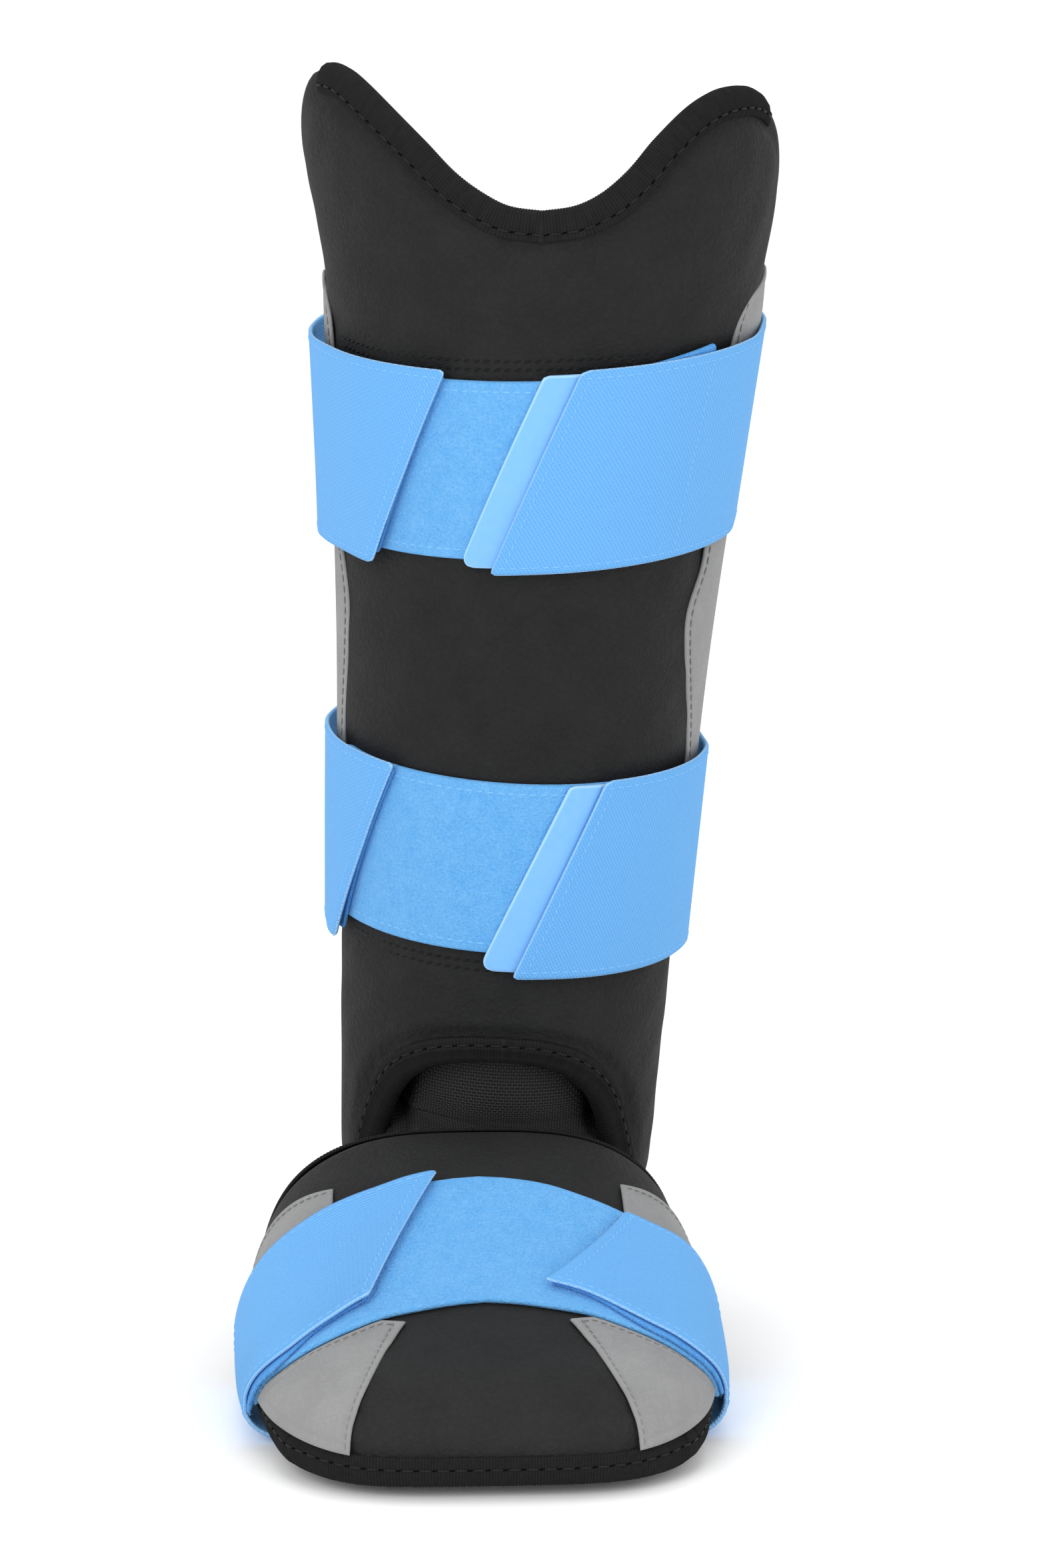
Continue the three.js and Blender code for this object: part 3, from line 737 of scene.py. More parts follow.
LEATHER = Finish(
    "black_leather", grey(0.0155), grey(0.010), Pattern.GRAIN, pitch=1.0, depth=0.4, roughness=0.72,
    specular=0.16,
)
FOOT_LEATHER = replace(LEATHER, name="black_foot_leather", color=grey(0.02), deep=grey(0.0135))
GREY_LEATHER = replace(
    LEATHER, name="grey_side_leather", color=grey(0.275), deep=grey(0.225), pitch=0.9, depth=0.2,
    roughness=0.7, specular=0.15,
)
LINING = Finish(
    "black_lining", grey(0.012), grey(0.006), Pattern.FELT, pitch=0.8, depth=0.15, roughness=0.9,
    specular=0.1,
)
TAPE = Finish(
    "ribbed_tape", grey(0.0145), grey(0.004), Pattern.TAPE, pitch=0.85, depth=0.18, roughness=0.85,
    specular=0.12, on_sheet=True,
)
WEBBING = Finish(
    "nylon_webbing", grey(0.034), grey(0.001), Pattern.BASKET, pitch=0.8, depth=0.4, roughness=0.6,
    on_sheet=True,
)
# The pale rim along the elastic's edges is a painted highlight on its rounded edges.
ELASTIC = Finish(
    "blue_elastic", (0.2, 0.475, 0.83), (0.085, 0.32, 0.7), Pattern.TWILL, pitch=1.15, depth=0.3,
    roughness=0.85, specular=0.1, sheen=0.05, on_sheet=True, rim_color=(0.3, 0.56, 0.88), rim_highlight_width=0.45,
)
RIBBED_ELASTIC = replace(ELASTIC, name="blue_ribbed_elastic", pattern=Pattern.RIBS, pitch=1.05, depth=0.35)
LOOP = Finish(
    "blue_loop", (0.17, 0.44, 0.78), (0.09, 0.34, 0.71), Pattern.FELT, pitch=0.8, depth=0.42, roughness=0.95,
    specular=0.06, sheen=0.08,
)
HOOK = replace(
    LOOP, name="blue_hook", color=(0.13, 0.4, 0.8), deep=(0.055, 0.27, 0.68), pitch=0.5, depth=0.4,
    roughness=0.9, sheen=0.05,
)
# The pale rim round the rubber tab is a painted highlight on its rounded edge.
PULL = Finish(
    "blue_rubber", (0.2, 0.46, 0.82), (0.165, 0.42, 0.8), Pattern.SMOOTH, pitch=0.6, depth=0.05,
    roughness=0.5, specular=0.25, rim_color=(0.34, 0.6, 0.9), rim_highlight_width=0.8,
)
BLACK_THREAD = Finish(
    "black_thread", grey(0.006), grey(0.002), Pattern.SMOOTH, pitch=0.4, depth=0.05, roughness=0.6,
    specular=0.2,
)
TAPE_THREAD = replace(BLACK_THREAD, name="tape_thread", color=grey(0.012), deep=grey(0.006))
# Painted shade: matte black bars drawn where the needle holes show as dark shade.
HOLE_SHADE = replace(
    BLACK_THREAD, name="needle_hole_shade", color=grey(0.005), deep=grey(0.003), roughness=1.0, specular=0.0
)
GREY_THREAD = replace(
    BLACK_THREAD, name="grey_thread", color=grey(0.22), deep=grey(0.16), roughness=0.7, specular=0.3
)
BLUE_THREAD = replace(
    GREY_THREAD, name="blue_thread", color=(0.24, 0.51, 0.85), deep=(0.16, 0.42, 0.78), specular=0.1
)
BLUE_FIBRE = replace(
    BLUE_THREAD, name="blue_fibre", color=(0.24, 0.5, 0.84), pitch=0.6, depth=0.02, roughness=0.9,
    specular=0.05,
)
PALE_FLOOR = Finish(
    "pale_floor", grey(0.97), grey(0.95), Pattern.SMOOTH, pitch=400.0, depth=0.0, roughness=0.9,
    specular=0.05,
)


def edge_distance(points: Array) -> Array:
    """Measures how far the points of a grid lie from the grid's border.

    Args:
        points: The grid, as rows of points.

    Returns:
        One distance for each point.
    """
    rim = np.concatenate((points[0, :-1], points[:-1, -1], points[-1, :0:-1], points[:0:-1, 0]))
    flat = points.reshape(-1, 3)
    nearest = np.empty(len(flat), dtype=int)
    for start in range(0, len(flat), BATCH):
        part = flat[start : start + BATCH]
        nearest[start : start + BATCH] = ((part[:, None] - rim[None]) ** 2).sum(axis=-1).argmin(axis=1)
    best = np.full(len(flat), np.inf)
    for first in (nearest, nearest - 1):
        ahead = rim[(first + 1) % len(rim)] - rim[first]
        off = flat - rim[first]
        share = dot(off, ahead) / np.maximum(dot(ahead, ahead), 1e-9)
        away = off - ahead * np.clip(share, 0.0, 1.0)[:, None]
        best = np.minimum(best, np.linalg.norm(away, axis=1))
    return best.reshape(points.shape[:2])


def place_grid(mesh: bmesh.types.BMesh, points: Array) -> list[bmesh.types.BMVert]:
    """Adds a grid and moves its vertices.

    Args:
        mesh: The mesh that gets the grid.
        points: Rows of points, in millimetres.

    Returns:
        The grid's vertices, row by row.
    """
    rows, columns = points.shape[0] - 1, points.shape[1] - 1
    made = bmesh.ops.create_grid(mesh, x_segments=columns, y_segments=rows, size=0.5)["verts"]
    found = np.array([vert.co[:2] for vert in made]) + 0.5
    order = np.lexsort((np.round(found[:, 0] * columns), np.round(found[:, 1] * rows)))
    ordered = [made[index] for index in order]
    for vert, point in zip(ordered, points.reshape(-1, 3) * MM):
        vert.co = point
    return ordered


def link_mesh(name: str, mesh: bmesh.types.BMesh) -> bpy.types.Object:
    """Makes an object of a mesh, with smooth faces.

    Args:
        name: The object's name.
        mesh: The mesh, which is used up.

    Returns:
        The object.
    """
    data = bpy.data.meshes.new(name)
    for face in mesh.faces:
        face.smooth = True
    mesh.to_mesh(data)
    mesh.free()
    return put(name, data)


def put(name: str, data: bpy.types.ID) -> bpy.types.Object:
    """Makes an object of a mesh, a light or a camera, and puts it in the scene.

    Args:
        name: The object's name.
        data: What it shows.

    Returns:
        The object.
    """
    made = bpy.data.objects.new(name, data)
    bpy.context.scene.collection.objects.link(made)
    return made


def join_copies(name: str, verts: Array, faces: Sequence[Sequence[int]], smooth: bool) -> bpy.types.Object:
    """Joins many copies of a small shape in one mesh.

    Args:
        name: The object's name.
        verts: Points of each copy, in millimetres.
        faces: Corners of each face of one copy.
        smooth: Whether the faces are shaded smooth.

    Returns:
        The object.
    """
    count, size = verts.shape[:2]
    every = [[corner + index * size for corner in face] for index in range(count) for face in faces]
    data = bpy.data.meshes.new(name)
    data.from_pydata((verts * MM).reshape(-1, 3).tolist(), [], every)
    if smooth:
        data.shade_smooth()
    return put(name, data)


def closed_grid(name: str, outer: Array, inner: Array, flat: Array, edge: Array) -> bpy.types.Object:
    """Closes two grids that meet along their border into one skin.

    Args:
        name: The object's name.
        outer: Points of the outer face, row by row.
        inner: Points of the inner face.
        flat: Places on the flat sheet, for the UV map.
        edge: Distance from the border, kept as the attribute edge.

    Returns:
        The object, with the inner face in its second material slot.
    """
    mesh = bmesh.new()
    edge_layer = mesh.verts.layers.float.new("edge")
    uv_layer = mesh.loops.layers.uv.new("UVMap")
    places = flat.reshape(-1, 2) * MM
    for side, points in enumerate((outer, inner)):
        verts = place_grid(mesh, points)
        number = {vert: index for index, vert in enumerate(verts)}
        for vert, distance in zip(verts, edge.ravel()):
            vert[edge_layer] = distance
        faces = [face for face in mesh.faces if face.verts[0] in number]
        for face in faces:
            face.material_index = side
            for loop in face.loops:
                loop[uv_layer].uv = places[number[loop.vert]]
        if side:
            bmesh.ops.reverse_faces(mesh, faces=faces)
    border = {vert for line in mesh.edges if line.is_boundary for vert in line.verts}
    bmesh.ops.remove_doubles(mesh, verts=list(border), dist=1e-6)
    bmesh.ops.recalc_face_normals(mesh, faces=mesh.faces)
    return link_mesh(name, mesh)


PANEL_RISE = 0.5
PANEL_SLOPE = (3.0, 12.0)
PANEL_GROOVE = 0.3
PANEL_STITCHES = (2.8, 0.8)


def pillow(p: Array, q: Array, edge: Array) -> Array:
    """Gives a sewn panel a soft rise, with a groove along its stitches."""
    return PANEL_RISE * smoothstep(edge, *PANEL_SLOPE) - PANEL_GROOVE * ridge(edge, *PANEL_STITCHES)


def dress(piece: bpy.types.Object, slot: Slot, *finishes: Finish, node: str = "") -> bpy.types.Object:
    """Gives a piece its finishes and ties it to the frame.

    Args:
        piece: The piece.
        slot: The record's material slot; not used.
        finishes: One finish for each of its material slots.
        node: The node that it stands for, if any.

    Returns:
        The piece.
    """
    for finish in finishes:
        piece.data.materials.append(finish.material())
    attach(piece, BODY)
    if node:
        piece.name = f"{node}_sewn"
        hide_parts(node)
    log.info("%s: %d faces", piece.name, len(piece.data.polygons))
    return piece


@dataclass
class Sheet:
    """A closed sheet on a form, whose outer and inner faces meet in a rounded edge.

    lift moves both faces, swell only the outer one, and profile gives half the thickness by distance
    from the border instead of the plain rounding.
    """

    name: str
    form: Form
    spots: Spots
    columns: int
    rows: int
    inner: float
    outer: float
    rounding: float = 0.6
    lift: Relief | None = None
    swell: Relief | None = None
    profile: Relief | None = None
    crowding: Pair = (0.6, 0.6)
    held: Held = Held.NOT_A_SHEET
    rests_on: tuple[str, ...] = ()

    def lines(self) -> Places:
        """Returns the grid's places u and v, both from 0 to 1."""
        return np.meshgrid(crowd(self.columns, self.crowding[0]), crowd(self.rows, self.crowding[1]))

    def build(self) -> bpy.types.Object:
        """Builds the sheet.

        Returns:
            The piece, not yet dressed.
        """
        p, q = self.spots(*self.lines())
        middle = (self.inner + self.outer) / 2
        edge = edge_distance(self.form.point(p, q, middle))
        rounded = quarter_round(edge / self.rounding)
        half = self.profile(p, q, edge) if self.profile else (self.outer - self.inner) / 2 * rounded
        lift = middle + (self.lift(p, q, edge) if self.lift else 0.0)
        swell = self.swell(p, q, edge) * rounded if self.swell else 0.0
        outer = self.form.point(p, q, lift + half + swell)
        inner = self.form.point(p, q, lift - half)
        piece = closed_grid(self.name, outer, inner, self.form.flat(p, q), edge)
        if self.held is not Held.NOT_A_SHEET:
            self.declare((outer + inner) / 2 * MM)
        return piece

    def declare(self, middle: Array) -> None:
        """Args:
            middle: Points of the sheet's middle, in metres.
        """
        along, up = np.diff(middle, axis=1), np.diff(middle, axis=0)
        area = float(np.linalg.norm(np.cross(along[:-1], up[:, :-1]), axis=-1).sum())
        width = float(np.median(np.linalg.norm(up, axis=-1).sum(axis=0)))
        length = max(float(np.median(np.linalg.norm(along, axis=-1).sum(axis=1))), area / width)
        under = list(self.rests_on)
        log.info("%s: %.0f x %.0f mm flat", self.name, width / MM, length / MM)


@dataclass(frozen=True)
class Run:
    """A line on a piece that stitches follow: its points and the surface's normals there."""

    points: Array
    normals: Array

    @classmethod
    def on(cls, form: Form, p: Array, q: Array, offset: Array | float) -> "Run":
        """Lays a line on a form."""
        p, q = np.broadcast_arrays(np.asarray(p, dtype=float), np.asarray(q, dtype=float))
        return cls(form.point(p, q, np.broadcast_to(offset, p.shape)), form.normal(p, q))

    @property
    def walked(self) -> Array:
        """Distances along the line up to each of its points."""
        return walked_along(self.points)

    def read(self, places: Array) -> tuple[Array, ...]:
        """Returns points, normals and directions along the line at distances from its start."""
        lines = (self.points, self.normals, unit(np.gradient(self.points, self.walked, axis=0)))
        return tuple(read_along(places, self.walked, values) for values in lines)


@dataclass(frozen=True)
class Seam:
    """A kind of stitching: the size and slant of its stitches, their pitch, and where the first one sits."""

    pitch: float
    length: float
    width: float
    slant: float = 0.0
    phase: float = 0.5
    flatness: float = 0.8

    def sew(self, name: str, runs: Sequence[Run], slot: Slot, finish: Finish) -> bpy.types.Object:
        """Sews rows of stitches, each one a rounded bar of thread.

        Args:
            name: The piece's name.
            runs: The lines that the rows follow.
            slot: The record's material slot.
            finish: The thread's finish.

        Returns:
            All stitches as one dressed piece.
        """
        bar = bmesh.new()
        bmesh.ops.create_uvsphere(bar, u_segments=6, v_segments=5, radius=0.5)
        bar.verts.index_update()
        size = (self.length, self.width, self.width * self.flatness)
        shape = np.array([vert.co for vert in bar.verts])[:, [2, 0, 1]] * size
        faces = [[vert.index for vert in face.verts] for face in bar.faces]
        bar.free()
        verts = np.concatenate([self.bars(run, shape) for run in runs])
        return dress(join_copies(name, verts, faces, smooth=True), slot, finish)

    def bars(self, run: Run, shape: Array) -> Array:
        """Sets one copy of the bar at every stitch of a row.

        Args:
            run: The line that the row follows.
            shape: The bar's vertices.

        Returns:
            The vertices of each copy.
        """
        centre, up, along = run.read(np.arange(self.pitch * self.phase, run.walked[-1], self.pitch))
        along = unit(along)
        turned = along * math.cos(self.slant) + np.cross(up, along) * math.sin(self.slant)
        return centre[:, None] + shape @ np.stack((turned, np.cross(up, turned), up), axis=1)


@dataclass(frozen=True)
class Fuzz:
    """Short fibres that stand out beside a line: their number in a millimetre, size and scatter."""

    per_mm: float = 11.0
    length: float = 0.95
    length_spread: Pair = (0.4, 1.3)
    width: float = 0.11
    scatter: float = 0.55
    rise: float = 0.6
    foot_scatter: float = 0.4
    foot_depth: float = 0.3
    seed: int = 7

    def grow(
        self, name: str, runs: Sequence[tuple[Run, int]], slot: Slot, finish: Finish
    ) -> bpy.types.Object:
        """Grows fibres along lines.

        Args:
            name: The piece's name.
            runs: The lines, each with 1 or -1 for the side that its fibres point to.
            slot: The record's material slot.
            finish: The fibres' finish.

        Returns:
            All fibres as one dressed piece.
        """
        chance = np.random.default_rng(self.seed)
        verts = np.concatenate([self.fibres(run, side, chance) for run, side in runs])
        spike = ((0, 2, 1), (0, 1, 3), (1, 2, 3), (2, 0, 3))
        return dress(join_copies(name, verts, spike, smooth=False), slot, finish)

    def fibres(self, run: Run, side: int, chance: np.random.Generator) -> Array:
        """Shapes the fibres of one line, each a thin spike with three corners at its foot.

        Args:
            run: The line.
            side: 1 or -1, the side that the fibres point to.
            chance: Where the scatter comes from.

        Returns:
            Four points for each fibre.
        """
        length = run.walked[-1]
        count = int(length * self.per_mm)
        centre, up, along = run.read(chance.uniform(0.0, length, count))
        scatter = chance.normal(0.0, 1.0, (count, 3, 1))
        out = side * np.cross(up, along)
        foot = centre + up * scatter[:, 0] * self.foot_scatter - out * self.foot_depth
        heading = unit(out + (along * scatter[:, 1] + up * scatter[:, 2] * self.rise) * self.scatter)
        tip = foot + heading * (self.length * chance.uniform(*self.length_spread, (count, 1)))
        across = np.cross(heading, up)
        across *= self.width / 2 / np.maximum(np.linalg.norm(across, axis=1, keepdims=True), 1e-3)
        return np.stack((foot - across, foot + across, foot + up * self.width * 0.8, tip), axis=1)


@dataclass(frozen=True)
class Padding:
    """Half thickness of a padded shell by distance from its edge, bound by a tape or with turned leather."""

    wall: float
    rim_half: float = 2.6
    rim_reach: float = 3.5
    swell_from: float = 7.4
    swell_to: float = 12.5
    turned_reach: float = 6.0
    held_rim: Pair = (9.0, 13.0)

    @property
    def middle(self) -> float:
        """Offset of the padding's middle from the outer face."""
        return -self.wall / 2

    def half(self, edge: Array, bound: Array) -> Array:
        """Finds half the thickness.

        Args:
            edge: Distances from the border.
            bound: 1 where a tape binds the border, 0 where the leather is turned.

        Returns:
            Half the thickness at each place.
        """
        full = self.wall / 2
        nose = self.rim_half * quarter_round(edge / self.rim_reach)
        bound_half = nose + (full - self.rim_half) * smoothstep(edge, self.swell_from, self.swell_to)
        turned_half = full * quarter_round(edge / self.turned_reach)
        return part_way(turned_half, bound_half, bound)


@dataclass(frozen=True)
class Puff:
    """Cloth simulation that blows a coarse copy of a pad's outer skin up between its seams."""

    columns: int = 52
    rows: int = 68
    frames: int = 20
    pressure: float = 450.0
    cap: float = 1.6

    def run(self, name: str, form: Form, spots: Spots, held: Relief) -> Callable[[Array, Array], Array]:
        """Runs the simulation.

        Args:
            name: A name for the skin while it is simulated.
            form: The form that it lies on.
            spots: Places of the grid on the form.
            held: How firmly each place is held, from 0 to 1.

        Returns:
            A function that reads the swell in millimetres at grid places u and v.
        """
        u, v = np.meshgrid(np.linspace(0, 1, self.columns + 1), np.linspace(0, 1, self.rows + 1))
        p, q = spots(u, v)
        rest = form.base(p, q)
        mesh = bmesh.new()
        verts = place_grid(mesh, rest)
        mesh.verts.index_update()
        order = [vert.index for vert in verts]
        skin = link_mesh(name, mesh)
        pins = skin.vertex_groups.new(name="held")
        for index, weight in zip(order, held(p, q, edge_distance(rest)).ravel()):
            pins.add([int(index)], float(weight), "REPLACE")
        cloth = skin.modifiers.new("swell", "CLOTH")
        cloth.settings.vertex_group_mass = pins.name
        cloth.settings.use_pressure = True
        cloth.settings.uniform_pressure_force = self.pressure
        cloth.settings.effector_weights.gravity = 0.0
        cloth.collision_settings.use_collision = False
        scene = bpy.context.scene
        for number in range(1, self.frames + 1):
            scene.frame_set(number)
        blown = skin.evaluated_get(bpy.context.evaluated_depsgraph_get()).to_mesh()
        places = np.empty(len(blown.vertices) * 3)
        blown.vertices.foreach_get("co", places)
        moved = places.reshape(-1, 3)[order].reshape(rest.shape) / MM - rest
        bpy.data.objects.remove(skin)
        scene.frame_set(1)
        swell = np.clip(dot(moved, form.normal(p, q)), 0.0, None)
        log.info("%s: swells up to %.2f mm", name, swell.max())
        swell = self.cap * np.tanh(swell / self.cap)
        return lambda u, v: self.read(swell, u, v)

    def read(self, field: Array, u: Array, v: Array) -> Array:
        """Reads a field between the lines of the coarse grid.

        Args:
            field: Values on the coarse grid.
            u: Places along the rows.
            v: Places along the columns.

        Returns:
            The values there.
        """
        x, y = u * self.columns, v * self.rows
        i = np.clip(x.astype(int), 0, self.columns - 1)
        j = np.clip(y.astype(int), 0, self.rows - 1)
        f, g = x - i, y - j
        low = field[j, i] * (1 - f) + field[j, i + 1] * f
        high = field[j + 1, i] * (1 - f) + field[j + 1, i + 1] * f
        return low * (1 - g) + high * g


@dataclass(frozen=True)
class EdgeLine:
    """The border of a shell: its points, normals, inward directions, and how the surface bends inwards."""

    points: Array
    normals: Array
    inward: Array
    bend: Array
    walked: Array

    @classmethod
    def on(cls, form: Form, edge: Places, inside: Places, middle: float, step: float) -> "EdgeLine":
        """Lays the line along a form's border at even steps.

        Args:
            form: The form.
            edge: Coordinates along the border.
            inside: Coordinates of places a tape's width inside the border.
            middle: Offset of the padding's middle.
            step: Distance between the line's points.

        Returns:
            The line.
        """
        raw = form.point(*edge, middle)
        into = form.point(*inside, middle) - raw
        far = walked_along(raw)
        walked = np.linspace(0.0, far[-1], round(far[-1] / step) + 1)
        given = (raw, form.normal(*edge), into)
        points, normals, into = (read_along(walked, far, values) for values in given)
        normals = unit(normals)
        along = unit(np.gradient(points, walked, axis=0))
        normals = unit(normals - along * dot(normals, along)[:, None])
        drop = dot(into, normals)
        flat = into - normals * drop[:, None]
        flat -= along * dot(flat, along)[:, None]
        length = np.linalg.norm(flat, axis=1, keepdims=True)
        return cls(points, normals, flat / length, drop / length[:, 0] ** 2, walked)

    @property
    def from_end(self) -> Array:
        """Distances of the line's points from its nearer end."""
        return np.minimum(self.walked, self.walked[-1] - self.walked)

    def place(self, inset: Array, height: Array) -> Array:
        """Finds points beside the line."""
        sunk = height + self.bend * np.maximum(inset, 0.0) ** 2
        return self.points + self.inward * inset[..., None] + self.normals * sunk[..., None]


@dataclass(frozen=True)
class TapeFold:
    """A ribbed tape folded over a padded edge, sewn through near its inner border."""

    width: float = 7.4
    clearance: float = 0.25
    thickness: float = 1.0
    rib_pitch: float = 0.85
    rib_height: float = 0.12
    lines_per_rib: int = 3
    nose_rows: int = 8
    row_insets: tuple[float, ...] = (0.0, 0.15, 0.45, 1.0, 1.7, 2.2, 2.7, 3.6)
    edge_rounding: float = 0.5
    stitch_inset: float = 5.0
    stitch_lift: float = 0.1
    groove: float = 0.45
    groove_width: float = 0.6
    crown: float = 0.5
    dive: float = 0.0
    dive_length: float = 7.0
    dive_in: float = 0.75
    dive_down: float = 0.6
    dive_inset: float = 6.8
    seam: Seam = Seam(pitch=5.0, length=3.7, width=0.85, slant=0.0)
    # Black bars between the stitches: painted shade for the needle holes.
    holes: Seam = Seam(pitch=5.0, length=1.9, width=0.6, slant=0.2, phase=1.0)

    @property
    def step(self) -> float:
        """Distance between grid lines along the tape."""
        return self.rib_pitch / self.lines_per_rib

    def section(self, padding: Padding, stand: Array) -> Places:
        """Works out the fold's cross section.

        Args:
            padding: The padding that it is folded over.
            stand: Distances from the padding, by row and column.

        Returns:
            Insets from the border and heights over the padding's middle.
        """
        straight, sides, turn = self.rows()
        half = padding.rim_half + stand
        round_nose = padding.rim_reach - (padding.rim_reach + stand) * np.sin(turn)
        inset = np.where(sides == 0, round_nose, straight)
        return inset, np.where(sides == 0, half * np.cos(turn), sides * half)

    def rows(self) -> tuple[Array, Array, Array]:
        """Lists the fold's rows: along the outer face, round the nose and along the inner face.

        Returns:
            Insets of the straight rows (0 on the nose), sides (0 on the nose), and angles round the nose.
        """
        straight = self.width - np.array(self.row_insets)
        flat, nose = len(straight), self.nose_rows
        insets = np.concatenate((straight, np.zeros(nose), straight[::-1]))
        sides = np.repeat((1.0, 0.0, -1.0), (flat, nose, flat))
        turn = np.pad(np.linspace(0.0, math.pi, nose), flat)
        return insets[:, None], sides[:, None], turn[:, None]

    def build(self, name: str, line: EdgeLine, padding: Padding) -> None:
        """Builds the tape, its stitches, and the black bars between them that paint the shade of the needle
        holes.

        Args:
            name: The node that the tape stands for.
            line: The border that it binds.
            padding: The padding that it is folded over.
        """
        insets, sides, _ = self.rows()
        across = walked_along(insets)
        edge = np.minimum(np.minimum(across, across[-1] - across)[:, None], line.from_end[None])
        full = quarter_round(edge / self.edge_rounding)
        ribs = self.rib_height * np.cos(math.tau * line.walked / self.rib_pitch)[None] * full
        sewn = self.groove * ridge(insets, self.stitch_inset, self.groove_width) * (sides > 0)
        bulge = self.crown * np.sin(math.pi * (insets / self.width)) * (sides > 0)
        middle, half = self.clearance + self.thickness / 2, self.thickness / 2 * full
        outer = self.laid(line, padding, middle + half + ribs - sewn + bulge * full)
        inner = self.laid(line, padding, middle - half)
        flat = stacked(line.walked[None], walked_along(outer[:, 0])[:, None])
        tape = closed_grid(name, outer[:, ::-1], inner[:, ::-1], flat[:, ::-1], edge[:, ::-1])
        level = padding.rim_half + self.clearance + self.thickness + self.stitch_lift
        row = (np.full_like(line.walked, value) for value in (self.stitch_inset, level))
        runs = [Run(line.place(*self.sunk(line, *row)), line.normals)]
        self.seam.sew(f"{name}_stitches", runs, Slot.BINDING, TAPE_THREAD)
        self.holes.sew(f"{name}_holes", runs, Slot.BINDING, HOLE_SHADE)
        dress(tape, Slot.BINDING, TAPE, TAPE, node=name)

    def laid(self, line: EdgeLine, padding: Padding, stand: Array) -> Array:
        """Returns the points of a face of the fold that stands off the padding."""
        return line.place(*self.sunk(line, *self.section(padding, stand)))

    def sunk(self, line: EdgeLine, inset: Array, height: Array) -> Places:
        """Returns insets and heights over the padding's middle, with the tape's ends drawn in."""
        near = self.dive * (1 - smoothstep(line.from_end, 0.0, self.dive_length))
        return part_way(inset, self.dive_inset, self.dive_in * near), height * (1 - self.dive_down * near)


TAPE_INSET = 8.0
THREAD_LIFT = 0.05


class Creases(NamedTuple):
    """Soft creases in leather: a wave of some height across x and y, which a slower wave sways."""

    height: float
    x: float
    y: float
    sway: float
    sway_x: float
    sway_y: float

    def at(self, x: Array, y: Array) -> Array:
        """Returns the heights at places on the flat leather."""
        swayed = self.sway * np.sin(self.sway_x * x + self.sway_y * y)
        return self.height * np.sin(self.x * x + self.y * y + swayed)


@dataclass(frozen=True)
class ShinEdge:
    """The top or arch edge of the shin shell."""

    left: Curve
    right: Curve
    inward: int

    def height(self, angle: Array) -> Array:
        """Returns the edge's heights at angles round the leg."""
        return np.where(angle < 0, self.left.at(np.abs(angle)), self.right.at(np.abs(angle)))

    def inset(self, form: ShinForm, angle: Array, distance: float) -> Places:
        """Moves into the shell from the edge, square to it.

        Args:
            form: The shin's form.
            angle: Angles along the edge.
            distance: How far to move.

        Returns:
            Angles and heights.
        """
        z = self.height(angle)
        per_mm = form.degrees_per_mm(angle, z)
        slope = (self.height(angle + 0.5) - self.height(angle - 0.5)) * per_mm
        length = np.hypot(1.0, slope)
        return angle - self.inward * slope / length * distance * per_mm, z + self.inward * distance / length


